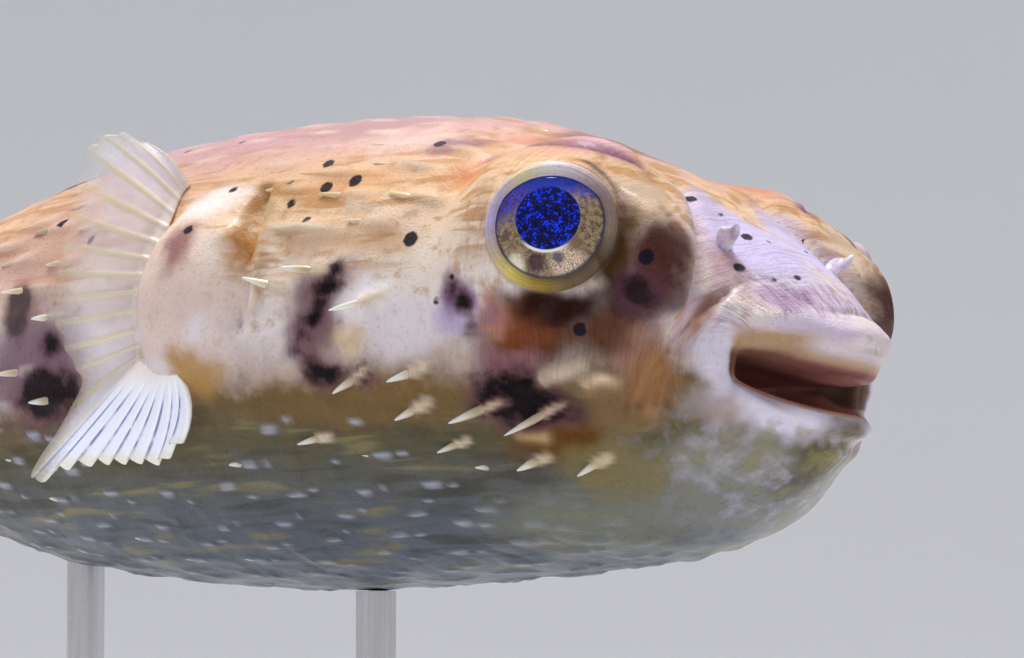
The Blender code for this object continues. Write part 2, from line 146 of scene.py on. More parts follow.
def finished(piece, nodes):
    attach(piece, "root")
    if nodes:
        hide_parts(*nodes)


def feed(socket, value):
    if isinstance(value, bpy.types.NodeSocket):
        socket.id_data.links.new(value, socket)
    elif socket.type == "RGBA" and len(value) == 3:
        socket.default_value = (*value, 1.0)
    else:
        socket.default_value = value


def addNode(tree, kind, inputs=None, **settings):
    node = tree.nodes.new(kind)
    for key, value in settings.items():
        setattr(node, key, value)
    for key, value in (inputs or {}).items():
        feed(node.inputs[key], value)
    return node


# the node tree of the first socket among these values
def treeOf(*values):
    return next(value.id_data for value in values if isinstance(value, bpy.types.NodeSocket))


def calc(operation, *values):
    inputs = dict(enumerate(values))
    return addNode(treeOf(*values), "ShaderNodeMath", inputs, operation=operation).outputs[0]


def times(first, *others):
    for other in others:
        first = calc("MULTIPLY", first, other)
    return first


# a texture that runs from 0 to 1, made to swing by this much about 0
def swing(texture, size):
    return calc("MULTIPLY_ADD", texture, size, -size / 2)


def roughened(value, texture, size):
    return calc("ADD", value, swing(texture, size))


def ramp(value, low, high, start=0.0, end=1.0, kind="SMOOTHSTEP"):
    inputs = {"Value": value, "From Min": low, "From Max": high, "To Min": start, "To Max": end}
    return addNode(value.id_data, "ShaderNodeMapRange", inputs, interpolation_type=kind).outputs["Result"]


def mixColour(factor, first, second, blend="MIX"):
    inputs = {0: factor, 6: first, 7: second}
    tree = treeOf(*inputs.values())
    return addNode(tree, "ShaderNodeMix", inputs, data_type="RGBA", blend_type=blend).outputs[2]


# a colour with further coats on it, each a mask and a tint
def coated(colour, *coats):
    for mask, tint in coats:
        colour = mixColour(mask, colour, tint)
    return colour


def attribute(tree, name, output="Vector"):
    return addNode(tree, "ShaderNodeAttribute", attribute_name=name).outputs[output]


def split(vector):
    return addNode(vector.id_data, "ShaderNodeSeparateXYZ", {0: vector}).outputs


def vectorCalc(operation, vector, other):
    inputs = {0: vector, 1: other}
    return addNode(vector.id_data, "ShaderNodeVectorMath", inputs, operation=operation).outputs


def noiseNode(vector, scale, detail=2.0, rough=0.5, stretch=None, distortion=0.0):
    if stretch:
        vector = vectorCalc("MULTIPLY", vector, stretch)[0]
    inputs = {"Vector": vector, "Scale": scale, "Detail": detail, "Roughness": rough}
    inputs["Distortion"] = distortion
    return addNode(vector.id_data, "ShaderNodeTexNoise", inputs).outputs["Fac"]


def voronoi(vector, scale, feature="F1"):
    inputs = {"Vector": vector, "Scale": scale}
    return addNode(vector.id_data, "ShaderNodeTexVoronoi", inputs, feature=feature).outputs[0]


def colourRamp(value, stops):
    node = addNode(value.id_data, "ShaderNodeValToRGB", {"Fac": value})
    band = node.color_ramp
    while len(band.elements) < len(stops):
        band.elements.new(0.5)
    for element, (place, colour) in zip(band.elements, stops):
        element.position = place
        element.color = (*colour, 1.0)
    return node.outputs["Color"]


def newGroup(name, inputs, outputs):
    tree = bpy.data.node_groups.new(name, "ShaderNodeTree")
    for label, value in inputs.items():
        kind = "NodeSocketColor" if isinstance(value, tuple) else "NodeSocketFloat"
        tree.interface.new_socket(label, in_out="INPUT", socket_type=kind).default_value = value
    for label, kind in outputs.items():
        tree.interface.new_socket(label, in_out="OUTPUT", socket_type=kind)
    return tree, tree.nodes.new("NodeGroupInput").outputs, tree.nodes.new("NodeGroupOutput").inputs


def newMaterial(name):
    made = bpy.data.materials.new(name)
    made.use_nodes = True
    return made, made.node_tree


# sets the shader's sockets, and a bump from its height, strength and distance
def dress(made, settings, bump=None):
    tree = made.node_tree
    if bump:
        inputs = dict(zip(("Height", "Strength", "Distance"), bump))
        settings["Normal"] = addNode(tree, "ShaderNodeBump", inputs).outputs[0]
    for key, value in settings.items():
        feed(tree.nodes["Principled BSDF"].inputs[key], value)
    return made


def flesh(weight, radius, scale):
    return {"Subsurface Weight": weight, "Subsurface Radius": radius, "Subsurface Scale": scale}


# distance behind the lips, half width, top, bottom, set back of the sides, squareness, rake, droop
bodyStations = {
    "throat": (15, 3.5, -3.9, -5.6, 1.5, 2, 0.3, 1.4),
    "palate": (9, 7.8, -3.4, -6.2, 4.5, 2.4, 0.3, 2),
    "rim": (3, 10.2, -3.5, -6.8, 8.6, 5, 0.3, 2.6),
    "edge": (0.9, 10.9, -3, -7.2, 9.3, 5, 0.3, 2.6),
    "lip": (0, 12, 0, -8.5, 9.8, 3.6, 0.32, 2.5),
    "lipOuter": (0.9, 13.6, 2.3, -10, 9.8, 2.7, 0.34, 2),
    "muzzle": (3.6, 16.2, 5, -13.6, 9.2, 2.2, 0.34, 1.4),
    "snout": (8.5, 19.4, 8.8, -17.6, 7.4, 2.1, 0.28, 0.8),
    "nostril": (15, 22.4, 13.2, -20.8, 4.8, 2.1, 0.18, 0.3),
    "eye": (26, 26, 20, -23.2, 1.6, 2.1, 0.06, 0),
    "nape": (42, 28.8, 27, -24.6, 0, 2.1, 0, 0),
    "gill": (64, 30.2, 30.8, -25.8, 0, 2.1, 0, 0),
    "belly": (88, 29.4, 31.2, -26, 0, 2.1, 0, 0),
    "flank": (116, 25, 28, -23.6, 0, 2.1, 0, 0),
    "vent": (142, 17.4, 20.6, -17.6, 0, 2, 0, 0),
    "stalk": (163, 8.8, 12, -10, 0, 2, 0, 0),
    "root": (184, 3.2, 8.4, -7.6, 0, 2, 0, 0),
}
body = {
    "mouthLine": -3.6,
    "setBackCurve": 1.65,
    "tailBend": 0.0009,
    "bendStart": 50.0,
    "trunkEnd": 156.0,
}

# middle, reach along each axis, direction, height, flatness; both sides alike
swellings = {
    "eyeTurret": ((-26.6, 21.5, 12.4), (16.5, 19, 17), (0.4, 0.78, 0.42), 6.8, 3.6),
    "muzzleCrease": ((-9.5, 17.5, 8), (5, 7, 12), (-0.4, -0.9, 0), 1.2, 2),
    "turretFront": ((-16, 18.5, 7.5), (6.5, 8, 11), (0.6, 0.8, 0), 3.8, 2.2),
    "brow": ((-27, 15.5, 21), (9, 8, 7), (0.3, 0.3, 0.9), 0.8, 2.2),
    "finPad": ((-77, 30, 6.5), (11, 10, 15), (-0.35, 0.94, 0), 3.6, 3),
}

stationTable = np.array(list(bodyStations.values()))
lipIndex = list(bodyStations).index("lip")
stationSteps = np.diff(stationTable, axis=0)
stationStride = np.sqrt(stationSteps[:, 0] ** 2 + stationSteps[:, 1] ** 2 + 0.25 * stationSteps[:, 2] ** 2)
stationPlaces = np.concatenate([[0.0], np.cumsum(stationStride)])
lipPlace, tailPlace = stationPlaces[lipIndex], stationPlaces[-1]
# a point times one of these lies on the right or the left
mirrors = [np.array((1.0, side, 1.0)) for side in (-1.0, 1.0)]


def smoothThrough(along, places, values):
    gaps = np.diff(places)
    slopes = np.diff(values) / gaps
    tangents = np.empty_like(values)
    tangents[1:-1] = (slopes[:-1] * gaps[1:] + slopes[1:] * gaps[:-1]) / (gaps[1:] + gaps[:-1])
    tangents[0], tangents[-1] = slopes[0], slopes[-1]
    i = np.clip(np.searchsorted(places, along, side="right") - 1, 0, len(places) - 2)
    u = (along - places[i]) / gaps[i]
    start = (2 * u**3 - 3 * u**2 + 1) * values[i] + (u**3 - 2 * u**2 + u) * gaps[i] * tangents[i]
    end = (3 * u**2 - 2 * u**3) * values[i + 1] + (u**3 - u**2) * gaps[i] * tangents[i + 1]
    return start + end


def alongAt(distance):
    return np.interp(distance, stationTable[lipIndex:, 0], stationPlaces[lipIndex:])


def powerWave(value, squareness):
    return np.sign(value) * np.abs(value) ** (2.0 / squareness)


# how far the bend of the tail carries points to the right
def tailShift(points):
    return body["tailBend"] * np.clip(-points[..., 0] - body["bendStart"], 0.0, None) ** 2


def bodySurface(along, around):
    along, around = np.broadcast_arrays(np.asarray(along, float), np.asarray(around, float))
    columns = [smoothThrough(along, stationPlaces, column) for column in stationTable.T]
    back, width, top, bottom, setBack, squareness, rake, droop = columns
    across = powerWave(np.sin(around), squareness)
    z = (top + bottom) / 2 + (top - bottom) / 2 * powerWave(np.cos(around), squareness)
    z = z - droop * (0.5 - across**2)
    setBack = setBack * np.abs(across) ** body["setBackCurve"]
    x = -(back + setBack + rake * np.clip(body["mouthLine"] - z, 0.0, None))
    points = np.stack([x, width * across, z], -1)
    for middle, reach, direction, height, flatness in swellings.values():
        for mirror in mirrors:
            distance = np.linalg.norm((points - np.array(middle) * mirror) / np.array(reach), axis=-1)
            weight = (1.0 - np.clip(distance, 0.0, 1.0) ** flatness) ** 2
            points = points + unit(np.array(direction)) * mirror * (height * weight)[..., None]
    points[..., 1] -= tailShift(points)
    return points


def bodyNormal(along, around):
    step = 1e-3
    down = bodySurface(along, around + step) - bodySurface(along, around - step)
    back = bodySurface(along + step * 20, around) - bodySurface(along - step * 20, around)
    return unit(np.cross(down, back))


# a number from 0 to 1 that looks random and is the same each time
def scatter(i, j):
    value = math.sin(i * 12.9898 + j * 78.233) * 43758.5453
    return value - math.floor(value)


spines = {
    "first": 18.0,
    "step": 5.2,
    "rings": 26,
    "around": 20,
    "length": 6.5,
    "radius": 0.6,
    "moundHeight": 0.5,
    "seed": 7,
    "clear": 4.5,  # distance kept from the placed spines, then the flecks' distance from them
    "fleckClear": 2.6,
    "fleckTop": -7.0,
    "fleckMound": (0.3, 3.2, 0.6),
    "patch": 0.0015,  # radius of a spine on the unwrapped skin
    "gridAlong": 700,  # steps in which the nearest place to a placed spine is looked for
    "gridAround": 360,
}

# height on the body, then lean in degrees, share of the length, and how deep the foot is sunk
spineLie = {
    "places": (-20, -9, 0, 16, 26),
    "lean": (3, 8, 20, 10, 4),
    "share": (0.6, 0.74, 0.95, 1, 0.8),
    "sunk": (0.58, 0.75, 1.02, 0.84, 0.66),
}


def bareOfSpines(point, distance):
    x, y, z = point
    side = 1.0 if y > 0 else -1.0
    turret = math.dist((x, y, z), (-25.0, side * 26.0, 9.5)) < 15.5
    front = math.dist((x, y, z), (-16.0, side * 20.0, 6.0)) < 10.0
    muzzle = distance < 22.0 or (distance < 36.0 and z > 10.0)
    pad = math.hypot(x + 82.0, (y - side * 30.0) * 0.5, (z - 4.0) * 0.8) < 17.0
    return turret or front or muzzle or pad or distance > body["trunkEnd"] - 14.0


# the long spines of the cheek and flank, left side: root, way back, length
placedSpines = {
    "cheekRear": ((-32, 25.6, -8.9), (-0.96, 0.05, -0.27), 5.2),
    "cheekFront": ((-24.6, 23.4, -9.5), (-0.92, 0.1, -0.38), 5.8),
    "jawOne": ((-27.8, 21, -14.6), (-0.98, 0, -0.2), 3),
    "jawTwo": ((-21.4, 18.4, -14.3), (-0.92, 0.1, -0.35), 3),
    "jawThree": ((-37.1, 24.1, -12.7), (-0.97, 0, -0.22), 3.4),
    "flankHigh": ((-47.4, 29.6, 3.3), (-0.97, 0, -0.24), 5.2),
    "flankLow": ((-49.2, 29.1, -4.8), (-0.88, 0, -0.47), 4.2),
    "flankFront": ((-40.7, 28, -4.7), (-0.96, 0, -0.26), 4.2),
    "flankUnder": ((-41.2, 26.9, -8.6), (-0.94, 0, -0.34), 3.8),
    "gillHigh": ((-55.8, 30.4, 6.9), (-1, 0, 0.06), 5),
    "gillRear": ((-62.3, 30, 5.1), (-0.96, 0.1, 0.26), 4.6),
    "lowRear": ((-56.6, 26.7, -11.6), (-0.98, 0, -0.1), 3.6),
}

# lean in degrees, length hidden in the skin, depth of the foot, and distance kept among them
placedForm = {
    "lean": 21.0,
    "buried": 1.6,
    "sunk": 0.95,
    "mound": (0.62, 0.8, 1.4, 0.85),  # height, share of the length and lead that make up its reach, width
    "clear": 8.0,
}


def rootAt(along, around):
    root = bodySurface(along, around)
    return root, bodyNormal(along, around), unit(bodySurface(along + 0.5, around) - root)


# each root, its normal, the way back, its places along and around, then lean, length, depth of
# the foot, and height, reach and width of the mound of skin on it; flecks are mounds with no spine
def spineRoots():
    found, flecks, placed = [], [], []
    gridAlong = np.linspace(lipPlace, tailPlace, spines["gridAlong"])
    gridAround = np.linspace(0, 2 * math.pi, spines["gridAround"], endpoint=False)
    grid = bodySurface(gridAlong[:, None], gridAround[None, :])
    for middle, way, length in placedSpines.values():
        for mirror in mirrors:
            middleHere, wayHere = np.array(middle) * mirror, np.array(way) * mirror
            middleHere[1] -= tailShift(middleHere)
            away = np.linalg.norm(grid - middleHere, axis=-1)
            i, j = np.unravel_index(np.argmin(away), away.shape)
            along, around = float(gridAlong[i]), float(gridAround[j])
            root, normal, back = rootAt(along, around)
            back = unit(wayHere - (wayHere @ normal) * normal)
            placed.append(root)
            height, share, lead, width = placedForm["mound"]
            lean, reach, sunk = placedForm["lean"], length + placedForm["buried"], placedForm["sunk"]
            mound = (height, share * length + lead, width)
            found.append((root, normal, back, along, around, lean, reach, sunk, mound))
    for i in range(spines["rings"]):
        distance = spines["first"] + spines["step"] * i
        for j in range(spines["around"] * 2):
            along = float(alongAt(distance + 0.5 * spines["step"] * (j % 2)))
            around = 2 * math.pi * (j / 2 + 0.5 * (i % 2) + 0.3 * scatter(i, j // 2)) / spines["around"]
            root, normal, back = rootAt(along, around)
            if bareOfSpines(root, distance):
                continue
            crowd = min(math.dist(root, other) for other in placed)
            scale = 0.8 + 0.4 * scatter(j // 2, i)
            if j % 2:
                if root[2] < spines["fleckTop"] and crowd > spines["fleckClear"]:
                    height, reach, width = spines["fleckMound"]
                    mound = (height, reach * scale, width)
                    flecks.append((root, normal, back, along, around, 0.0, 0.0, 0.0, mound))
                continue
            amongPlaced = -70.0 < root[0] < -18.0 and -13.0 < root[2] < 10.0
            if crowd < (placedForm["clear"] if amongPlaced else spines["clear"]):
                continue
            lean, share, sunk = (
                np.interp(root[2], spineLie["places"], spineLie[key]) for key in ("lean", "share", "sunk")
            )
            low, high = float(smoothStep(8.0, -4.0, root[2])), float(smoothStep(15.0, 23.0, root[2]))
            height = spines["moundHeight"] * scale * (1.15 - 0.45 * low) * (1 - 0.6 * high)
            mound = (height, (7.0 - 3.0 * low) * scale, 0.8 - 0.1 * low)
            length = spines["length"] * share * scale
            found.append((root, normal, back, along, around, lean, length, sunk, mound))
    return found, flecks


rootList, fleckList = spineRoots()
print("spine roots", len(rootList), "flecks", len(fleckList))

# middle, reach, colour, strength; |y| is used, so both sides carry them
washes = {
    "backPink": ((-80, 12, 27), (30, 14, 7), (0.52, 0.3, 0.34), 0.6),
    "backRose": ((-64, 14, 28), (9, 9, 5), (0.52, 0.29, 0.29), 0.7),
    "rearRose": ((-108, 24, 14), (16, 8, 9), (0.6, 0.34, 0.28), 0.75),
    "backMilk": ((-56, 17, 23.5), (8, 6, 3.2), (0.84, 0.62, 0.58), 0.6),
    "foreheadOrange": ((-31, 14, 23), (13, 9, 4.5), (0.66, 0.27, 0.16), 0.9),
    "browPeach": ((-29.5, 22.4, 20.4), (8, 4.4, 2.2), (0.8, 0.42, 0.27), 0.8),
    "foreheadLilac": ((-25, 17.5, 20.9), (5.5, 4, 2), (0.8, 0.52, 0.6), 0.85),
    "foreheadPale": ((-38, 20, 20), (6, 7, 4), (0.8, 0.56, 0.36), 0.7),
    "napeOrange": ((-39.5, 23.2, 19), (5.6, 5.4, 3.6), (0.7, 0.25, 0.095), 0.85),
    "browPurple": ((-46.5, 19, 23), (4.5, 5, 1.6), (0.26, 0.11, 0.16), 0.7),
    "flankTan": ((-50, 29, 10.5), (7, 8, 2.6), (0.56, 0.3, 0.13), 0.6),
    "flankGold": ((-58, 29, 12), (9, 8, 2.2), (0.66, 0.4, 0.2), 0.5),
    "flankTanHigh": ((-58, 26, 17.6), (8, 6, 3), (0.72, 0.37, 0.17), 0.55),
    "flankLilac": ((-44, 29, -0.5), (7, 8, 3.8), (0.86, 0.78, 0.84), 0.75),
    "flankMilk": ((-50, 29.5, 3.4), (5.5, 6, 2.4), (0.98, 0.93, 0.98), 0.8),
    "turretCream": ((-18.2, 18.6, 14.4), (3.4, 4.6, 3.2), (0.58, 0.44, 0.3), 0.95),
    "turretOlive": ((-18.2, 23.2, 6.8), (3.4, 4.4, 6.4), (0.078, 0.036, 0.006), 1),
    # the turret's front and its foot are painted dark: partly brown skin, partly painted shade
    "turretBrownAndShade": ((-14, 19.4, 6.2), (4.2, 5.4, 6.8), (0.085, 0.026, 0.019), 1),
    "turretLowAndShade": ((-16.8, 22, 1.6), (4.6, 4.6, 3.6), (0.03, 0.005, 0.004), 1),
    "cheekMass": ((-26.6, 27, -1.8), (7.6, 7, 5.6), (0.12, 0.042, 0.02), 1),
    "underEyeRust": ((-27, 27.2, -1), (5.4, 6, 2.8), (0.21, 0.052, 0.014), 1),
    "cheekPurple": ((-29.4, 26.4, -4.4), (4.4, 6, 1.6), (0.34, 0.16, 0.17), 0.9),
    "cheekBrown": ((-19.8, 22.6, -2), (4.8, 5, 3.2), (0.105, 0.028, 0.004), 0.95),
    "cheekLow": ((-26, 21.8, -12.8), (8.5, 6, 3.2), (0.14, 0.05, 0.001), 0.95),
    "underEyeDark": ((-23.6, 26.2, 0.9), (5.4, 5, 2.4), (0.026, 0.004, 0.001), 1),
    "underEyeOrange": ((-31.4, 28.2, 0), (2.8, 4, 3), (0.56, 0.26, 0.18), 0.85),
    "cheekRust": ((-16.6, 19.6, -4.2), (3.6, 4.4, 4.6), (0.38, 0.19, 0.13), 0.9),
    "cheekTan": ((-18.6, 20.2, -9.4), (4.6, 6, 3.2), (0.24, 0.14, 0.06), 0.85),
    "mouthFoldOrange": ((-12.6, 15.4, 0.6), (2.4, 3, 3.4), (0.6, 0.27, 0.115), 0.95),
    "mouthFoldLow": ((-15.8, 18.2, -6.4), (2.8, 3.4, 4), (0.42, 0.21, 0.085), 0.92),
    # the lilac-white of the snout is partly its own colour, partly painted highlight
    "snoutLilac": ((-12.5, 6, 10.5), (11.5, 8.5, 7), (0.66, 0.6, 0.92), 0.92),
    "snoutHigh": ((-19.5, 7, 15.2), (6, 5, 3), (0.62, 0.56, 0.8), 0.8),
    "snoutSide": ((-12.5, 11.6, 6.8), (3, 2.6, 5.4), (0.5, 0.33, 0.38), 0.92),
    "snoutPeach": ((-12, 11, 8.8), (1.8, 2, 1.5), (0.6, 0.36, 0.32), 0.6),
    "snoutTip": ((-4, 4, 4.2), (5, 6, 3.2), (0.7, 0.6, 0.8), 0.85),
    "foldPurple": ((-12.4, 14.6, 3.2), (1.9, 2.6, 1.8), (0.26, 0.1, 0.085), 0.85),
    "lipStreak": ((-6.8, 7.6, 4.2), (4.6, 4.4, 1.9), (0.54, 0.38, 0.6), 0.85),
    "lipTan": ((-8.6, 11.6, -0.7), (3, 4, 1.5), (0.5, 0.31, 0.17), 0.95),
    "lipPale": ((-3.6, 5.6, 0.2), (6, 6.4, 2.4), (0.72, 0.6, 0.76), 0.95),
    "cornerWhite": ((-10.8, 14.2, -3), (2.4, 2.8, 6.4), (0.8, 0.74, 0.86), 0.95),
    "chinLilac": ((-7.4, 8, -8.4), (9, 10, 3.4), (0.86, 0.82, 1), 0.92),
    "cornerTan": ((-11.4, 12.4, -9.2), (3.4, 4, 2.8), (0.42, 0.3, 0.24), 0.7),
    "chinOlive": ((-12, 9, -14), (8, 9, 3.4), (0.31, 0.31, 0.26), 0.8),
    "chinGrey": ((-18, 6, -18), (10, 11, 4), (0.27, 0.28, 0.27), 0.7),
    "jowlOlive": ((-22, 16, -15.5), (7, 8, 3.6), (0.25, 0.2, 0.085), 0.8),
    "bellyGreen": ((-30, 12, -21), (14, 10, 4.5), (0.25, 0.26, 0.2), 0.7),
    "cheekLilac": ((-36.6, 28.5, 0.8), (3.2, 4, 3.2), (0.54, 0.44, 0.72), 0.8),
    "clusterPurple": ((-35.8, 29, 2.9), (3, 4, 2.6), (0.19, 0.08, 0.22), 0.85),
    "clusterTail": ((-31.6, 28.4, 0.2), (2.4, 4, 1.4), (0.28, 0.14, 0.19), 0.7),
    "gillHalo": ((-57, 29.5, 1.6), (4.6, 8, 7), (0.17, 0.07, 0.085), 0.85),
    "gillGold": ((-51.6, 29, -1.2), (3.4, 6, 1.9), (0.82, 0.62, 0.3), 0.55),
    "lowGold": ((-50, 28, -8.2), (19, 8, 3), (0.21, 0.12, 0.035), 0.7),
    "padTan": ((-78, 31, 5), (9, 8, 12), (0.86, 0.66, 0.58), 0.85),
    "padWhite": ((-78, 28, 17.5), (6, 6, 3), (0.92, 0.84, 0.82), 0.9),
    "padGleam": ((-73.8, 32.4, 1), (1.7, 4, 2), (0.9, 0.86, 0.94), 0.7),
    "padFront": ((-73, 31.2, 9.5), (2, 4, 4), (0.9, 0.76, 0.66), 0.8),
    "padLow": ((-76.5, 31, -4.5), (6, 6, 3.4), (0.46, 0.24, 0.03), 0.85),
    "padBrown": ((-77.6, 32.2, 11.2), (2.6, 4, 4.4), (0.34, 0.16, 0.15), 0.95),
    "slitOchre": ((-69.6, 28.6, 10.6), (1.7, 3.4, 3.6), (0.56, 0.25, 0.05), 0.95),
    "slitHigh": ((-71.4, 26.4, 17), (1.5, 3, 3), (0.42, 0.2, 0.05), 0.9),
    "finRootWhite": ((-83, 30, -3.5), (5, 5, 3), (0.82, 0.78, 0.8), 0.85),
    "rearPurple": ((-106, 28, -1), (12, 9, 9), (0.2, 0.105, 0.155), 0.9),
}

# middle, reach, depth of colour (1 is near black)
blotches = {
    "cheekBarUpper": ((-31.2, 26.6, -6.8), (3, 7, 1.7), 1),
    "cheekBarLow": ((-29.6, 25, -8.6), (4.6, 7, 2.8), 1),
    "cheekBarTail": ((-27.4, 24.2, -9.6), (3.2, 7, 1.4), 0.95),
    "gillTop": ((-54.1, 30, 7), (1.7, 6, 0.9), 0.95),
    "gillHigh": ((-55.7, 30.1, 5.1), (2.1, 6, 1.2), 1),
    "gillBridge": ((-56.4, 30, 2.7), (1.1, 6, 0.9), 0.9),
    "gillMiddle": ((-57.3, 30, 1.1), (1.5, 6, 1.1), 1),
    "gillSlant": ((-58.8, 30, -0.4), (1.6, 6, 1.1), 1),
    "gillRear": ((-59.8, 30, -1.9), (1.1, 6, 0.9), 0.9),
    "gillJoin": ((-57.8, 29.6, -3.4), (1.1, 6, 0.7), 0.85),
    "gillLow": ((-55.6, 29.4, -4.8), (2.2, 6, 0.95), 1),
    "gillFront": ((-49.3, 29, -5.6), (0.9, 4, 0.9), 0.9),
    "clusterOne": ((-37.1, 28.5, 4), (1, 4, 0.9), 0.95),
    "clusterTwo": ((-35.2, 28.4, 2.5), (1, 4, 1), 1),
    "clusterThree": ((-34.2, 27.6, -0.9), (0.7, 4, 0.7), 0.8),
    "turretPatch": ((-15.4, 22.4, 2.9), (1.6, 5, 2.2), 0.85),
    "rearLow": ((-104, 29.5, -4.8), (6, 9, 3.2), 0.95),
    "rearSpot": ((-102.7, 30, 0.9), (1.6, 6, 1.3), 1),
    "rearHigh": ((-110, 27, 6), (3, 9, 3), 0.7),
    "rearBack": ((-119, 25, -1), (5, 9, 5), 0.75),
    "backSaddle": ((-117, 0, 27), (10, 13, 8), 0.75),
    "dorsalSaddle": ((-148, 0, 17), (10, 12, 6), 0.85),
    "stalkBar": ((-166, 0, 8), (6, 9, 6), 0.6),
    "browBar": ((-37, 0, 26), (4.2, 13, 6), 0.35),
}

# middle and radius of the small round spots
spotPlaces = {
    "behindEye": ((-44.6, 27.7, 10), 0.98),
    "clusterFour": ((-39.3, 29, 2.5), 0.8),
    "clusterFive": ((-36.9, 29, 4.9), 0.55),
    "turret": ((-14.5, 22, 6.6), 0.92),
    "underTurret": ((-21.6, 24.2, -1.2), 0.8),
    "gillOne": ((-56.6, 25, 18.3), 0.95),
    "gillTwo": ((-60.6, 25.7, 17.8), 0.9),
    "gillThree": ((-62.8, 23.5, 21.3), 0.85),
    "gillFour": ((-64.9, 27.2, 16.1), 0.75),
    "gillFive": ((-61.2, 28.1, 13.7), 0.65),
    "gillSix": ((-66.6, 25.6, 18.8), 0.55),
    "padTop": ((-76, 25.9, 19.1), 0.8),
    "nape": ((-49.1, 19.1, 23), 0.8),
    "pad": ((-77.3, 31.1, 13.1), 0.78),
    "snoutOne": ((-20.3, 8.1, 16), 0.85),
    "snoutTwo": ((-13.6, 5.9, 11.7), 0.75),
    "snoutThree": ((-11, 10.2, 7.4), 0.8),
    "snoutFour": ((-8.1, 7.7, 6.2), 0.55),
    "snoutFive": ((-7, 4.9, 6.7), 0.52),
    "snoutSix": ((-12.6, 3.4, 11.1), 0.42),
    "snoutSeven": ((-18.6, 10.4, 14.2), 0.42),
    "snoutEight": ((-17.6, 5.9, 14.3), 0.4),
    "topOne": ((-84, 17, 27.5), 0.8),
    "topTwo": ((-90, 22, 22.5), 0.9),
    "topThree": ((-96, 14, 27.8), 0.8),
    "topFour": ((-58, 9, 29.8), 0.8),
    "topFive": ((-51, 4, 29.2), 0.7),
    "sideOne": ((-99, 26.5, 14.5), 0.95),
    "sideTwo": ((-107, 23, 17.5), 0.9),
    "sideThree": ((-119, 22.5, 12), 0.95),
    "sideFour": ((-126, 21.5, 6.5), 0.9),
    "sideFive": ((-122, 18, 17.5), 0.8),
    "sideSix": ((-131, 19.5, -1), 0.85),
    "sideSeven": ((-138, 15.5, 8.5), 0.8),
    "sideEight": ((-146, 13.5, 2.5), 0.75),
    "sideNine": ((-152, 10, 7.5), 0.7),
}


# the points with the bend of the tail taken out and the two sides laid on one
def straightened(points):
    flat = np.array(points, float)
    flat[..., 1] = np.abs(flat[..., 1] + tailShift(flat))
    return flat


def ellipsoid(flat, middle, reach):
    return np.linalg.norm((flat - np.array(middle, float)) / np.array(reach, float), axis=-1)


# colour and strength of the washes, and the distances that give patches and spots their edges
def paintFields(points):
    flat = straightened(points)
    spread = [
        softNoise(points, 4.2, 20.0 + k) * 1.5 + softNoise(points, 1.5, 30.0 + k) * 0.7
        for k in range(3)
    ]
    uneven = flat + np.stack(spread, -1)
    colour = np.zeros((len(flat), 4))
    for middle, reach, tint, strength in washes.values():
        weight = strength * (1 - smoothStep(0.45, 1.25, ellipsoid(uneven, middle, reach)))
        total = colour[:, 3] * (1 - weight) + weight
        share = np.where(total > 1e-4, weight / np.maximum(total, 1e-4), 0.0)[:, None]
        colour[:, :3] = colour[:, :3] * (1 - share) + np.array(tint) * share
        colour[:, 3] = total
    patch, spot, depth = np.full(len(flat), 9.0), np.full(len(flat), 9.0), np.zeros(len(flat))
    for middle, reach, dark in blotches.values():
        distance = (ellipsoid(flat, middle, reach) - 1.0) * min(reach[0], reach[2])
        depth = np.maximum(depth, (1 - smoothStep(-0.2, 2.4, distance)) * dark)
        patch = np.minimum(patch, distance)
    for middle, radius in spotPlaces.values():
        spot = np.minimum(spot, np.linalg.norm(flat - np.array(middle, float), axis=-1) - radius)
    return colour, np.stack([patch, depth, spot], -1)


# from a grey belly through olive and cream to a rosy back; the grey of the belly is partly painted shade,
# and the bright cream of the flank is partly painted light
groundWithShadeAndLight = [
    (0, (0.15, 0.19, 0.25)),
    (0.12, (0.13, 0.15, 0.175)),
    (0.24, (0.115, 0.1, 0.055)),
    (0.335, (0.19, 0.125, 0.05)),
    (0.385, (0.58, 0.46, 0.4)),
    (0.46, (0.92, 0.82, 0.82)),
    (0.58, (0.92, 0.77, 0.64)),
    (0.74, (0.82, 0.54, 0.31)),
    (0.86, (0.72, 0.44, 0.36)),
    (1, (0.56, 0.36, 0.46)),
]


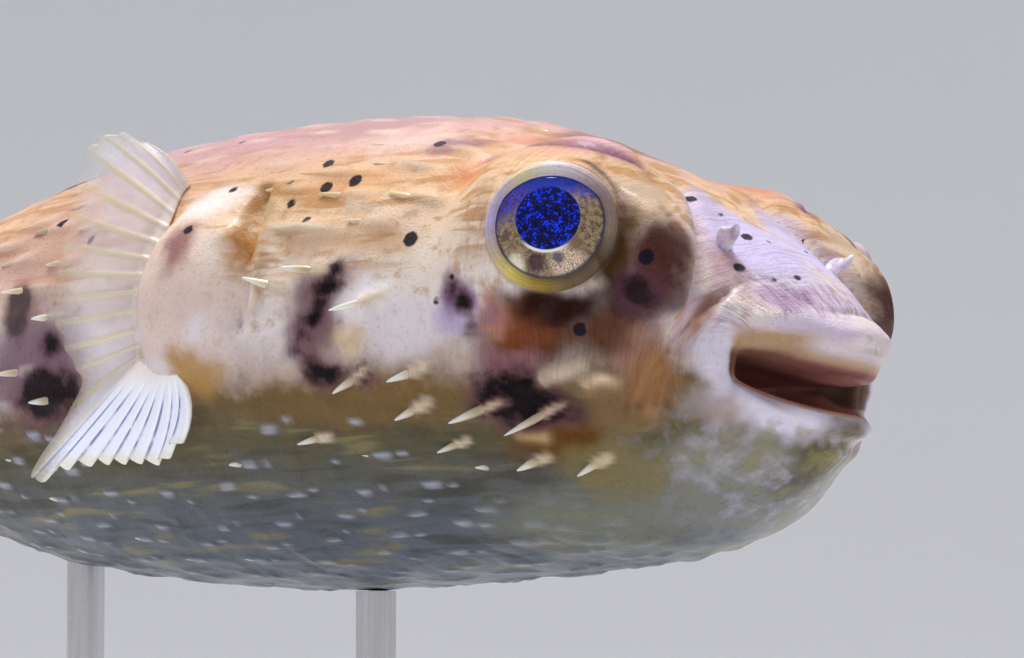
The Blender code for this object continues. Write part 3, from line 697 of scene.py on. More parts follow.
def makeMarkings():
    group, given, out = newGroup(
        "fishMarkings",
        {
            "Mottle": 1.0,
            "Edge Ragged": 1.0,
            "Blotch Colour": (0.003, 0.0006, 0.0014, 1.0),
            "Spot Colour": (0.006, 0.005, 0.016, 1.0),
        },
        {"Colour": "NodeSocketColor", "Streaks": "NodeSocketFloat"},
    )
    place, lie, edges = (attribute(group, name) for name in ("place", "lie", "edges"))
    washColour, washStrength = (attribute(group, "wash", output) for output in ("Color", "Alpha"))
    x, _, z = split(place)
    run = split(lie)[0]
    patch, depth, spot = split(edges)
    broad = noiseNode(place, 0.12, 2.0, 0.55)
    middling = noiseNode(place, 0.42, 3.0, 0.6)
    fine = noiseNode(place, 1.7, 3.0, 0.65)
    cloud = noiseNode(place, 0.36, 3.0, 0.55)
    bands = noiseNode(place, 0.55, 2.0, 0.5, stretch=(0.12, 0.5, 1.0), distortion=0.5)
    streak = noiseNode(lie, 1.0, 3.0, 0.6, stretch=(3.6, 0.16, 0.16), distortion=0.15)
    rays = noiseNode(lie, 1.0, 3.0, 0.6, stretch=(0.3, 1.7, 1.7), distortion=0.3)

    # the ground, its tan, shade and sun, the washes, clouds on the chin and streaks over the lip
    level = roughened(roughened(z, broad, 5.0), middling, 4.0)
    low = ramp(z, -4.0, -12.0)
    onChin = times(ramp(x, -22.0, -13.0), ramp(z, -8.0, -11.0))
    slant = calc("MULTIPLY_ADD", x, -0.38, z)
    onLip = times(ramp(x, -12.5, -9.5), ramp(slant, 1.7, 4.3), ramp(z, 7.6, 5.4))
    rays = times(ramp(rays, 0.4, 0.66), ramp(middling, 0.34, 0.56, 0.15, 1.0))
    colour = coated(
        colourRamp(ramp(level, -27.0, 33.0, kind="LINEAR"), groundWithShadeAndLight),
        (times(ramp(middling, 0.52, 0.72), ramp(z, -14.0, 0.0, 0.0, 0.6)), (0.52, 0.29, 0.14)),
        (times(ramp(bands, 0.5, 0.66), low, 0.55), (0.06, 0.055, 0.035)),
        (times(ramp(bands, 0.44, 0.3), low, 0.6), (0.3, 0.26, 0.11)),
        # orange-brown streaks high on the flank: partly the skin's colour, partly painted shade between its
        # ridges
        (times(ramp(z, 5.0, 9.0), ramp(bands, 0.49, 0.62, 0.0, 0.75)), (0.52, 0.26, 0.085)),
        (times(washStrength, ramp(middling, 0.25, 0.6, 0.98, 1.0)), washColour),
        (times(onChin, ramp(cloud, 0.44, 0.76, 0.0, 0.5)), (0.58, 0.55, 0.68)),
        (times(onChin, ramp(cloud, 0.52, 0.3, 0.0, 0.5)), (0.32, 0.28, 0.11)),
        (times(rays, onLip, 0.6), (0.26, 0.12, 0.17)),
    )

    # fine dark streaks that run round the head, and freckles
    onHead = times(
        ramp(x, -42.0, -26.0, 0.03, 0.28),
        ramp(z, -10.0, -4.0, 0.3, 1.0),
        ramp(run, lipPlace + 2.0, lipPlace + 9.0, 0.25, 1.0),
    )
    lines = times(ramp(streak, 0.46, 0.66), times(onHead, given["Mottle"]))
    colour = mixColour(lines, colour, (0.36, 0.22, 0.17), "MULTIPLY")
    lipward = ramp(run, lipPlace + 10.0, lipPlace + 3.0, 0.35, 0.22)
    freckle = times(ramp(fine, 0.52, 0.76), lipward, given["Mottle"])
    colour = mixColour(freckle, colour, (0.52, 0.36, 0.27), "MULTIPLY")

    # blotches and spots: their distances, roughened, give the edges
    ragged = roughened(roughened(swing(middling, 2.6), noiseNode(place, 0.28, 1.0), 3.6), fine, 0.9)
    ragged = calc("ADD", patch, times(ragged, given["Edge Ragged"]))
    within = mixColour(ramp(fine, 0.46, 0.66, 0.0, 0.4), given["Blotch Colour"], (0.022, 0.006, 0.01))
    colour = coated(
        colour,
        (times(ramp(ragged, 2.0, -0.2, 0.0, 0.75), depth), (0.16, 0.06, 0.085)),
        (times(ramp(ragged, 0.75, -0.95), depth), within),
        (times(ramp(roughened(spot, fine, 0.36), 0.15, -0.13), 0.96), given["Spot Colour"]),
    )
    feed(out["Colour"], colour)
    feed(out["Streaks"], streak)
    return group


def makeWrinkles():
    inputs = {"Fine": 1.0, "Pores": 0.4}
    group, given, out = newGroup("skinWrinkles", inputs, {"Height": "NodeSocketFloat"})
    place, lie = attribute(group, "place"), attribute(group, "lie")
    lines = noiseNode(lie, 1.0, 3.0, 0.6, stretch=(3.6, 0.22, 0.22), distortion=0.2)
    folds = swing(noiseNode(place, 0.9, 3.0, 0.55, distortion=0.8), 2.0)
    crease = ramp(calc("ABSOLUTE", folds), 0.0, 0.22)
    height = calc("ADD", times(lines, given["Fine"]), times(crease, 0.22))
    height = calc("ADD", height, times(voronoi(place, 3.4), given["Pores"]))
    feed(out["Height"], height)
    return group


markingsGroup = makeMarkings()
wrinklesGroup = makeWrinkles()


def makeSkinMaterial():
    made, tree = newMaterial("wetSkin")
    marks = addNode(tree, "ShaderNodeGroup", node_tree=markingsGroup).outputs
    folds = addNode(tree, "ShaderNodeGroup", node_tree=wrinklesGroup)
    folds.inputs["Fine"].default_value = 0.6
    light = addNode(tree, "ShaderNodeRGBToBW", {0: marks["Colour"]}).outputs[0]
    settings = {
        **flesh(0.08, (1.0, 0.45, 0.28), 0.0014),
        "Base Color": marks["Colour"],
        "Roughness": ramp(marks["Streaks"], 0.35, 0.7, 0.48, 0.36),
        "Specular IOR Level": 0.1,
        "Coat Weight": ramp(light, 0.02, 0.3, 0.03, 0.2),
        "Coat Roughness": 0.16,
        "Coat IOR": 1.36,
    }
    return dress(made, settings, (folds.outputs["Height"], 0.55, 0.00015))


skin = {
    "sides": 252,
    # distance along from the lips, and the step between rings there
    "stepPlaces": (-20, -6, -2, 3, 12, 45, 75, 130, 200),
    "steps": (1.2, 0.6, 0.32, 0.32, 0.38, 0.44, 0.75, 1.0, 1.5),
    "broadFolds": 0.35,
    "bellyWrinkle": 0.12,
    "lipPleat": 0.14,
    "foldReach": 34,  # a fold is drawn this far from its middle at most
}

# lines on the skin, left side: points, half width, height; negative heights are grooves
foldLines = {
    "turretCrease": (
        [(-25, 8.6, 19.8), (-22, 8, 17.9), (-18.1, 10, 14.8), (-16, 11.4, 12.1), (-14, 13.2, 8.8),
         (-12.8, 14.8, 5.6), (-12.7, 15.8, 2.7), (-13.5, 16.4, -0.2), (-14.2, 17, -2.2)],
        0.9, -1,
    ),
    "turretRoll": (
        [(-19.2, 12.8, 15.6), (-16.2, 14.6, 12), (-14.2, 16.6, 8.6), (-13.1, 17.8, 5),
         (-13.4, 18.6, 2)],
        1.6, 0.5,
    ),
    "mouthFoldOne": (
        [(-11.6, 13.8, 3), (-12.4, 15.1, 1.5), (-13.5, 16.1, -0.6), (-14.8, 17.7, -3.5),
         (-16, 18.6, -6.9), (-17.2, 18.7, -9)],
        0.5, -0.8,
    ),
    "mouthFoldTwo": (
        [(-10.8, 12.6, 4), (-11.1, 14.6, 1.7), (-12, 15.8, -0.6), (-13.3, 16.7, -3.1),
         (-14.4, 16.8, -5.6), (-15.1, 16.6, -8.6)],
        0.5, -0.85,
    ),
    "mouthFoldThree": (
        [(-12.3, 15.6, 0.2), (-13.8, 17, -3), (-15.2, 17.8, -6), (-16, 17.6, -8.6)],
        0.4, -0.65,
    ),
    "mouthFoldFour": (
        [(-14.9, 19.2, -0.8), (-16.2, 19.8, -3.6), (-17.3, 19.8, -6.6), (-18.4, 19.4, -9.2)],
        0.45, -0.55,
    ),
    "cornerRoll": (
        [(-10.4, 13, 2.4), (-10.9, 14.4, -0.6), (-11, 15, -4.2), (-11.2, 14.4, -7.4),
         (-12, 13, -10.4)],
        1.5, 0.8,
    ),
    "cornerPit": ([(-9.6, 11.9, -2.8), (-9.4, 11.6, -5.2)], 0.9, -0.7),
    "upperLipTop": (
        [(-10.2, 12, 5), (-9.4, 10.2, 6.2), (-8, 8.1, 5.9), (-5.2, 6.2, 4.2), (-2.7, 4.4, 3),
         (-2.2, 0, 3.1)],
        0.55, -0.5,
    ),
    "upperLipRoll": (
        [(-8.9, 12.6, -0.4), (-7.2, 10.8, 0.6), (-4.6, 8.1, 1), (-2.2, 4.9, 0.4), (-1.2, 0, 0.4)],
        1.6, 0.6,
    ),
    "lipButton": ([(-0.8, 3.4, -0.5), (-0.7, 3, -0.3)], 1.2, 0.7),
    "lowerLipRoll": (
        [(-9, 11.2, -7.8), (-6.8, 8.9, -8.6), (-4.6, 6.2, -9.2), (-3.2, 3, -9.6), (-2.8, 0, -9.7)],
        1, 0.6,
    ),
    "lowerLipGroove": (
        [(-10.6, 11.6, -9.8), (-8.2, 9.2, -10.6), (-5.8, 6, -11.2), (-4.4, 3, -11.7),
         (-4, 0, -11.8)],
        0.9, -0.4,
    ),
    "browCrease": (
        [(-39.6, 20, 20.6), (-35.8, 21, 21.2), (-31.8, 21, 21.2), (-28, 20.7, 20.9),
         (-25.2, 19.4, 20.3), (-23.5, 17.8, 19.6), (-22.4, 15.4, 18.9)],
        0.7, -0.5,
    ),
    "browRidge": (
        [(-34, 19.6, 22.8), (-30.5, 17.8, 23.8), (-26.5, 15.6, 23), (-23.4, 12.8, 21)],
        1.4, 0.45,
    ),
    "slitGroove": (
        [(-70.6, 26.4, 18.6), (-69.8, 28, 15.4), (-69.2, 29.6, 12.2), (-68.5, 30.4, 9),
         (-68.3, 31, 5), (-68.8, 31, 1.5)],
        0.95, -2.2,
    ),
    "slitFlap": (
        [(-68.6, 26.8, 18.2), (-67.6, 28.6, 14.6), (-66.8, 29.8, 10.6), (-66.4, 30.4, 6.6),
         (-66.6, 30.8, 3)],
        1.2, 0.5,
    ),
    "underEyeFold": (
        [(-34.5, 28, 3.6), (-31.5, 28.4, -0.4), (-26.5, 26.8, -2.6), (-21.5, 24.2, -3)],
        0.9, -0.3,
    ),
    "cheekFold": (
        [(-34.4, 28, 1), (-34, 27.4, -3.3), (-34, 26.7, -6.6), (-34.6, 25.2, -10.2)],
        0.7, -0.35,
    ),
    "lumpOne": ([(-25.2, 25.4, -6.6), (-23.6, 25, -6), (-21.4, 24.1, -5.2)], 1.25, 2.2),
    "lumpTwo": ([(-20.9, 23.2, -6.9), (-19.6, 22.7, -6.5), (-18.2, 22, -6.8)], 1.05, 1.7),
    "lumpThree": ([(-30.2, 24, -12.4), (-27.4, 22.8, -12.6)], 1, 0.5),
    "chinFold": (
        [(-17.5, 17.5, -10.5), (-19.5, 15, -15), (-21.5, 10.5, -18.5), (-22.5, 5, -20.5),
         (-23, 0, -21)],
        1, -0.3,
    ),
    "finRootFold": (
        [(-84.5, 27, 17), (-87.5, 30.5, 10), (-88.5, 31.5, 3), (-86.5, 31, -4)],
        1.1, -0.7,
    ),
    "flankRidgeHigh": ([(-45.5, 27.4, 13.6), (-50.5, 27.6, 14.4), (-55.5, 27.4, 15.4)], 0.85, 0.5),
    "flankRidgeLow": (
        [(-49, 29.3, 11), (-56, 29.2, 12.4), (-62, 28.8, 12.9), (-66.8, 28.6, 13)],
        0.95, 0.45,
    ),
    "flankHollow": ([(-46, 29.4, 10.6), (-54, 29.8, 10.2), (-61, 29.6, 10.4)], 1.5, -0.22),
    "lumpUnder": (
        [(-26.2, 25, -8.6), (-24, 24.7, -8.4), (-21.8, 23.9, -7.3), (-19.2, 22.7, -8.3)],
        0.55, -0.7,
    ),
    "lidCrease": (
        [(-22.9, 23, 17.8), (-21.6, 22.9, 16.9), (-19.9, 22.4, 15.3), (-18.4, 22.3, 13.4),
         (-17.5, 22.3, 11.3)],
        0.5, -0.4,
    ),
    "snoutRidge": (
        [(-24, 5, 18.9), (-18, 4.6, 15.4), (-12, 4.4, 10.8), (-6.5, 3.2, 6.8)],
        1.8, 0.35,
    ),
}

# fleshy buttons: middle, radius, height
papillae = {
    "flankOne": ((-51.6, 30.1, -2), 1.6, 1),
    "flankTwo": ((-49.4, 29.8, 1.2), 1.3, 0.8),
    "flankThree": ((-55.4, 28.4, -8.6), 1.2, 0.7),
    "ridgeNub": ((-49.5, 29.9, 2.9), 1.1, 0.5),
    "padEdge": ((-71.5, 30.6, 12.6), 1.8, 0.8),
}

eyes = {
    "centre": (-27.5, 21.1, 9.4),
    "radius": 9.6,
    "gaze": (0.5, 0.86, 0.08),
    # the lid's margin in degrees out, and the heavy lid: its turn, reach, drop, extra width and height
    "opening": 39.6,
    "heavyTurn": 94,
    "heavyReach": 60,
    "heavyDrop": 5.4,
    "heavyWider": 0.45,
    "heavyProuder": 0.35,
    # the rings of the lid, then the apron that runs out to where the skin is cut
    "lidStep": 0.85,
    "apron": 8.0,
    "apronRings": 16,
    "letIn": 66.0,
    "spokes": 200,
    # rings of the ball: from and to how many degrees out, and how many
    "front": (0.6, 50, 70),
    "rear": (52, 179.4, 34),
    "ballSpokes": 160,
}

# the lid in degrees out from the gaze, and millimetres proud of the ball
lidProfile = [
    (-5, -1.3), (-1.2, -0.5), (0, 0.05), (0.9, 0.36), (2.4, 0.62), (4.4, 0.7),
    (6.6, 0.6), (8.6, 0.32), (10.2, 0.02), (11.2, 0), (12.4, 0.14),
]

# on the folds named above: width, colour, strength
creaseColours = {
    "browCrease": (1.5, (0.2, 0.065, 0.14), 1),
    "turretCrease": (1, (0.84, 0.74, 0.86), 0.75),
    "lidCrease": (0.8, (0.13, 0.05, 0.055), 0.85),
    # a painted shadow under the cheek lumps
    "lumpUnder": (0.7, (0.09, 0.035, 0.02), 0.9),
    "flankRidgeHigh": (0.8, (0.95, 0.85, 0.72), 0.9),
    "flankRidgeLow": (0.9, (0.93, 0.82, 0.68), 0.9),
    # orange-brown in the hollow by the flank ridges: partly the skin's colour, partly painted shade
    "flankHollow": (1.7, (0.68, 0.34, 0.13), 0.6),
    "mouthFoldOne": (0.45, (0.27, 0.1, 0.03), 0.8),
    "mouthFoldTwo": (0.4, (0.34, 0.14, 0.06), 0.8),
    "mouthFoldThree": (0.4, (0.3, 0.12, 0.04), 0.7),
    "mouthFoldFour": (0.4, (0.3, 0.13, 0.05), 0.7),
    "upperLipTop": (0.45, (0.22, 0.09, 0.12), 0.65),
    "slitGroove": (0.9, (0.22, 0.08, 0.02), 0.9),
    "slitFlap": (0.9, (0.74, 0.46, 0.16), 0.6),
    "lowerLipRoll": (0.8, (0.86, 0.8, 0.9), 0.5),
    "upperLipRoll": (0.6, (0.84, 0.76, 0.9), 0.3),
    "lumpOne": (1.15, (0.98, 0.82, 0.64), 1),
    "lumpTwo": (1, (0.9, 0.68, 0.46), 1),
    "lumpThree": (0.9, (0.74, 0.52, 0.26), 0.7),
    "cheekFold": (0.5, (0.52, 0.36, 0.5), 0.45),
}


# distance from each point to the nearest stretch of a line
def lineDistance(flat, line):
    best = np.full(len(flat), 1e9)
    for start, end in zip(line[:-1], line[1:]):
        start, end = np.array(start, float), np.array(end, float)
        stretch = end - start
        u = np.clip((flat - start) @ stretch / (stretch @ stretch), 0.0, 1.0)
        best = np.minimum(best, np.linalg.norm(flat - start - u[:, None] * stretch, axis=1))
    return best


# points read from a smooth curve through these values
def blended(values, u):
    values = np.asarray(values, float)
    places = np.linspace(0.0, 1.0, len(values))
    return np.stack([smoothThrough(np.asarray(u), places, column) for column in values.T], -1)


# 1 on a line, with its corners taken off, and next to nothing two widths away
def onLine(flat, line, width):
    weight = np.zeros(len(flat))
    near = np.linalg.norm(flat - np.mean(line, axis=0), axis=1) < skin["foldReach"]
    rounded = blended(line, np.linspace(0, 1, 4 * len(line)))
    weight[near] = np.exp(-((lineDistance(flat[near], rounded) / width) ** 2))
    return weight


# the skin's grid before the eyes are let in, and for each point where it lies along and around,
# how far up a mound it is, and the same for the placed spines alone
def skinForm():
    places = [0.0]
    while places[-1] < tailPlace:
        places.append(places[-1] + np.interp(places[-1] - lipPlace, skin["stepPlaces"], skin["steps"]))
    places = np.array(places) * tailPlace / places[-1]
    along = places[:, None]
    around = np.linspace(0, 2 * math.pi, skin["sides"], endpoint=False)[None, :]
    points, normals = bodySurface(along, around), bodyNormal(along, around)
    flat = straightened(points).reshape(-1, 3)
    lift = np.zeros(len(flat))
    for line, width, height in foldLines.values():
        lift += height * onLine(flat, line, width)
    for middle, radius, height in papillae.values():
        distance = np.linalg.norm(flat - np.array(middle), axis=1) / radius
        lift += height * np.exp(-(distance**4)) * (1 - 0.3 * np.clip(distance, 0, 1))
    lift = lift.reshape(points.shape[:-1])
    outer = smoothStep(lipPlace + 8, lipPlace + 22, along)
    broad = softNoise(points, 9.0, 3.1) * skin["broadFolds"]
    creased = 1 - np.abs(softNoise(points * np.array([1.0, 0.7, 0.7]), 3.4, 11.0)) * 2.6
    low = smoothStep(4.0, -10.0, points[..., 2])
    lift = lift + outer * (broad + skin["bellyWrinkle"] * (0.35 + 0.65 * low) * -np.clip(creased, 0, 1))
    lips = np.exp(-(((along - lipPlace - 2.5) / 3.2) ** 2))
    rays = np.stack(np.broadcast_arrays(np.cos(around) * 9, np.sin(around) * 9, 0.12 * along), -1)
    lift = lift + lips * skin["lipPleat"] * softNoise(rays, 0.55, 5.0)
    ridge = np.zeros(points.shape[:-1] + (2,))
    for number, (root, normal, back, rootAlong, _, _, length, _, mound) in enumerate(rootList + fleckList):
        high, reach, wide = mound
        rows = np.abs(places - rootAlong - 1.0) < reach + 2
        offset = points[rows] - root
        run, across = offset @ back, offset @ np.cross(normal, back)
        if length:
            slope = np.abs((run - 1.2) / (np.where(run < 1.2, 0.55, 0.42) * reach)) ** 2.6
            width = wide * np.clip(1.15 - 0.1 * run, 0.2, 2.0)
        else:
            slope, width = ((run - 0.6) / (0.36 * reach)) ** 2, wide
        rise = np.exp(-slope) * np.exp(-((across / width) ** 2))
        rise = np.where(np.abs(offset @ normal) < 4, rise, 0.0)
        lift[rows] += high * rise
        ridge[rows, :, 0] = np.maximum(ridge[rows, :, 0], rise)
        if number < 2 * len(placedSpines):
            ridge[rows, :, 1] = np.maximum(ridge[rows, :, 1], rise)
    tail = smoothStep(tailPlace, tailPlace - 6, along)
    points = points + normals * (lift * (0.2 + 0.8 * tail))[..., None]
    lie = np.stack(np.broadcast_arrays(along, 22 * np.sin(around), 22 * np.cos(around)), -1)
    return points, np.concatenate([lie, ridge], -1)


# centre of an eye, and its axes: the gaze, ahead and up
def eyeFrame(side):
    gaze = Vector((eyes["gaze"][0], side * eyes["gaze"][1], eyes["gaze"][2])).normalized()
    ahead = (Vector((1, 0, 0)) - gaze.x * gaze).normalized()
    up = gaze.cross(ahead)
    if up.z < 0:
        up = -up
    centre = Vector((eyes["centre"][0], side * eyes["centre"][1], eyes["centre"][2]))
    return [np.array(v) for v in (centre, gaze, ahead, up)]


def wayOut(axes, angle, turn):
    gaze, ahead, up = axes
    return math.cos(angle) * gaze + math.sin(angle) * (math.cos(turn) * ahead + math.sin(turn) * up)


# degrees out from the gaze, turn about it, and distance from the eye's centre
def roundGaze(points, side):
    centre, gaze, ahead, up = eyeFrame(side)
    offset = points - centre
    way = unit(offset)
    out = np.degrees(np.arccos(np.clip(way @ gaze, -1, 1)))
    return out, np.arctan2(way @ up, way @ ahead), np.linalg.norm(offset, axis=-1)


# where the lid's margin lies, in degrees: lower over the top of the eye, where the heavy lid hangs
def lidOpening(turn):
    fromTop = turn - math.radians(eyes["heavyTurn"])
    heavy = np.clip(np.cos(fromTop * 1.5), 0, 1)
    heavy = np.where(np.abs(fromTop) < math.radians(eyes["heavyReach"]), heavy, 0)
    return eyes["opening"] - eyes["heavyDrop"] * heavy, heavy


# rings of the lid round one eye, from the skin in to the hidden edge under the ball
def lidShape(tree, side):
    centre, *axes = eyeFrame(side)
    radius, apron = eyes["radius"], eyes["apron"]
    turns = np.linspace(0, 2 * math.pi, eyes["spokes"], endpoint=False)
    opening, heavy = lidOpening((turns + math.pi) % (2 * math.pi) - math.pi)
    offsets, proud = np.array(lidProfile).T
    edge = offsets[-1]
    levels = np.concatenate([np.arange(offsets[0], edge, eyes["lidStep"]), [edge]])
    proud = np.interp(levels, offsets, proud)
    outer = np.linspace(edge + 0.6, edge + apron, eyes["apronRings"])
    rings = []
    for level in np.concatenate([levels, outer]):
        ring = []
        share = float(smoothStep(edge - 1.9, edge + 6.1, level))
        for turn, start, weight in zip(turns, opening, heavy * (level > 0)):
            angle = start + min(level, edge) * (1 + eyes["heavyWider"] * weight)
            if level > edge:
                angle += (eyes["letIn"] - angle) * (level - edge) / apron
            way = wayOut(axes, math.radians(angle), turn)
            hit, _, _, natural = tree.ray_cast(Vector(centre), Vector(way), 40.0)
            natural = max(natural if hit else radius + 0.4, radius + 0.12)
            lid = radius + np.interp(level, levels, proud) * (1 + eyes["heavyProuder"] * weight)
            ring.append(centre + way * (lid * (1 - share) + natural * share))
        rings.append(ring)
    return np.array(rings[::-1])


# cuts the skin back round the eye and sews the rings of the lid to it
def letInEye(form, side):
    points, faces = form["points"], form["faces"]
    tree = BVHTree.FromPolygons([Vector(p) for p in points], faces)
    rings = lidShape(tree, side)
    angle, _, distance = roundGaze(points, side)
    inside = (angle < eyes["letIn"] + 1.6) & (distance < 32) & (points[:, 1] * side > 0)
    gone = [any(inside[v] for v in face) for face in faces]
    kept = [face for face, away in zip(faces, gone) if not away]
    edges = {pair for face in kept for pair in zip(face, face[1:] + face[:1])}
    border = {}
    for face, away in zip(faces, gone):
        for a, b in zip(face, face[1:] + face[:1]):
            if away and (b, a) in edges:
                border[b] = a
    loop = [next(iter(border))]
    while border[loop[-1]] != loop[0]:
        loop.append(border[loop[-1]])
    out, turn, _ = roundGaze(np.concatenate([points[loop], rings[0]]), side)
    plan = [Vector((a * math.cos(t), a * math.sin(t))) for a, t in zip(out, turn)]
    start, n, m = len(points), len(loop), len(rings[0])
    lines = [(i, (i + 1) % n) for i in range(n)] + [(n + i, n + (i + 1) % m) for i in range(m)]
    placed, _, found, origin, _, _ = delaunay_2d_cdt(plan, lines, [], 1, 1e-6)
    names = [loop[o[0]] if o[0] < n else start + o[0] - n for o in origin]
    joined = []
    for face in found:
        middle = sum((placed[v] for v in face), Vector((0, 0))) / len(face)
        if middle.length >= eyes["letIn"] or any(origin[v][0] < n for v in face):
            joined.append(tuple(names[v] for v in face))
    added = rings.reshape(-1, 3)
    nearest = [faces[tree.find_nearest(Vector(p))[2]][0] for p in added]
    form["points"] = np.concatenate([points, added])
    form["lie"] = np.concatenate([form["lie"], form["lie"][nearest]])
    form["faces"] = kept + joined + gridFaces(len(rings), m, start)


# lays a tint over the paint: one weight for each point
def layOn(colour, weight, tint):
    share = weight[:, None]
    colour[:, :3] = colour[:, :3] * (1 - share) + np.array(tint) * share
    colour[:, 3] = np.maximum(colour[:, 3], weight)


# colour of the lids, by degrees of turn about the gaze; the white over the top is partly painted light,
# against the shadow the brow casts there
lidTints = {
    -180: (0.7, 0.6, 1),
    -150: (0.72, 0.56, 0.42),
    -125: (0.96, 0.8, 0.16),
    -100: (0.46, 0.31, 0.004),
    -70: (0.14, 0.085, 0.006),
    -35: (0.085, 0.05, 0.018),
    0: (0.32, 0.25, 0.19),
    35: (0.34, 0.25, 0.27),
    60: (0.72, 0.6, 0.66),
    95: (0.98, 0.92, 1),
    125: (1, 0.9, 0.5),
    150: (0.74, 0.62, 0.8),
    180: (0.7, 0.6, 1),
}


# rings of colour on the lids, with the lie of the wrinkles turned to run round them
def lidPaint(points, colour, lie):
    places, tints = np.radians(list(lidTints)), np.array(list(lidTints.values()))
    for side in (-1.0, 1.0):
        angle, turn, distance = roundGaze(points, side)
        opening, heavy = lidOpening(turn)
        level = (angle - opening) / (1 + eyes["heavyWider"] * heavy)
        mask = smoothStep(11.5, 9.0, level) * (distance < 14)
        rings = np.stack([-eyes["centre"][0] + 1.3 * level, 7 * np.cos(turn), 7 * np.sin(turn)], -1)
        lie[:] = lie * (1 - mask[:, None]) + rings * mask[:, None]
        tint = np.stack([np.interp(turn, places, column) for column in tints.T], -1)
        lines = 0.92 + 0.14 * np.sin(level * 4.2) * smoothStep(0.5, 2.0, level)
        layOn(colour, mask * 0.92, tint * lines[:, None])
        crease = np.exp(-(((level - 10.8) / 1.1) ** 2)) * (distance < 14) * 0.55
        crease = crease * (0.5 + 0.5 * np.clip(-np.sin(turn) + np.cos(turn), 0, 1))
        layOn(colour, crease, (0.16, 0.08, 0.07))


# skin stretched over the foot of a spine is paler: creamy on the flank, bluish on the belly
def ridgePaint(points, colour, ridge):
    x, z = points[:, 0], points[:, 2]
    low = smoothStep(2.0, -9.0, z)
    tint = np.array((0.9, 0.76, 0.62)) * (1 - low[:, None]) + np.array((0.6, 0.64, 0.78)) * low[:, None]
    weight = smoothStep(0.25, 0.95, ridge) * (0.55 + 0.25 * low)
    weight = weight * (smoothStep(-16.0, -22.0, x) * (1 - 0.75 * low * smoothStep(-44.0, -32.0, x)))
    layOn(colour, weight, tint)


# tan under the lips, brown with painted shade inside the corners, then dark red within: painted darker on
# the roof, which catches light, and lighter on the inner sides, which lie in shade
def mouthPaint(points, colour, along):
    side, z, beyond = np.abs(points[:, 1]), points[:, 2], along - lipPlace
    corner = smoothStep(6.0, 9.0, side) * smoothStep(0.9, -0.1, beyond) * smoothStep(-1.6, -2.8, z)
    low = smoothStep(-4.6, -5.6, z)
    under = smoothStep(3.0, 7.0, side) * (1 - low)
    lip = smoothStep(0.2 + 0.9 * under - 0.9 * low, -0.7 + 0.5 * under - 0.7 * low, beyond)
    front = smoothStep(8.2, 4.6, side) * smoothStep(-5.4, -4.4, z) * smoothStep(-1.4, -0.4, beyond)
    deep = smoothStep(-1.3, -2.0, beyond)
    litRoof = smoothStep(-5.2, -4.2, z) * smoothStep(-16.0, -10.0, beyond)
    within = smoothStep(5.5, 8.5, side) * smoothStep(-0.6, -1.8, beyond)
    farCornerShade = smoothStep(8.2, 9.4, points[:, 1]) * smoothStep(2.6, 1.2, beyond)
    farCornerShade = farCornerShade * smoothStep(-1.8, -2.8, z) * smoothStep(-6.6, -5.6, z)
    layOn(colour, lip, (0.5, 0.33, 0.19))
    layOn(colour, lip * front, (0.8, 0.7, 0.78))
    layOn(colour, deep, (0.44, 0.18, 0.16))
    # the roof is painted darker where light falls on it
    layOn(colour, deep * litRoof, (0.165, 0.056, 0.05))
    # brown with painted shade in the near corner
    layOn(colour, corner * (0.95 - 0.5 * low), (0.15, 0.064, 0.042))
    # the inner sides are painted lighter, as they lie in shade
    layOn(colour, within * 0.95 * (1 - litRoof), (0.5, 0.22, 0.19))
    # brown with painted shade at the far corner
    layOn(colour, farCornerShade * 0.95, (0.13, 0.07, 0.042))


def makeSkin():
    points, lie = skinForm()
    rings, sides = points.shape[:2]
    faces = gridFaces(rings, sides)
    first, last = rings * sides, rings * sides + 1
    for j in range(sides):
        k = (j + 1) % sides
        faces.append((first, k, j))
        faces.append((last, (rings - 1) * sides + j, (rings - 1) * sides + k))
    form = {
        "points": np.concatenate([points.reshape(-1, 3), [points[0].mean(0), points[-1].mean(0)]]),
        "faces": faces,
        "lie": np.concatenate([lie.reshape(-1, 5), [[0, 0, 0, 0, 0], [tailPlace, 0, 0, 0, 0]]]),
    }
    for side in (-1.0, 1.0):
        letInEye(form, side)
    points, lie = form["points"], form["lie"][:, :3]
    ridge, sleeve = form["lie"][:, 3], form["lie"][:, 4]
    mouthward = lie[:, 0].copy()
    flat = straightened(points)
    colour, edges = paintFields(points)
    for name in ("lumpOne", "lumpTwo"):
        edges[:, 0] = np.maximum(edges[:, 0], 2.0 - 1.2 * lineDistance(flat, foldLines[name][0]))
    edges[:, 0] = np.maximum(edges[:, 0], 4.0 * sleeve - 2.0)
    edges[:, 1] *= 1 - smoothStep(lipPlace + 1, lipPlace - 1, mouthward)
    ridgePaint(points, colour, ridge)
    layOn(colour, 0.85 * smoothStep(0.3, 0.85, sleeve), (0.84, 0.68, 0.44))
    lidPaint(points, colour, lie)
    for name, (width, tint, strength) in creaseColours.items():
        layOn(colour, strength * onLine(flat, foldLines[name][0], width), tint)
    mouthPaint(points, colour, mouthward)
    made = meshObject("fish_skin", points, form["faces"], makeSkinMaterial())
    setAttributes(made.data, place=points, lie=lie, wash=colour, edges=edges)
    turnOutwards(made)
    finished(made, ["head", "trunk", "tail_stalk"])
    print("skin", rings, "rings", triangleCount(made.data), "triangles")


makeSkin()


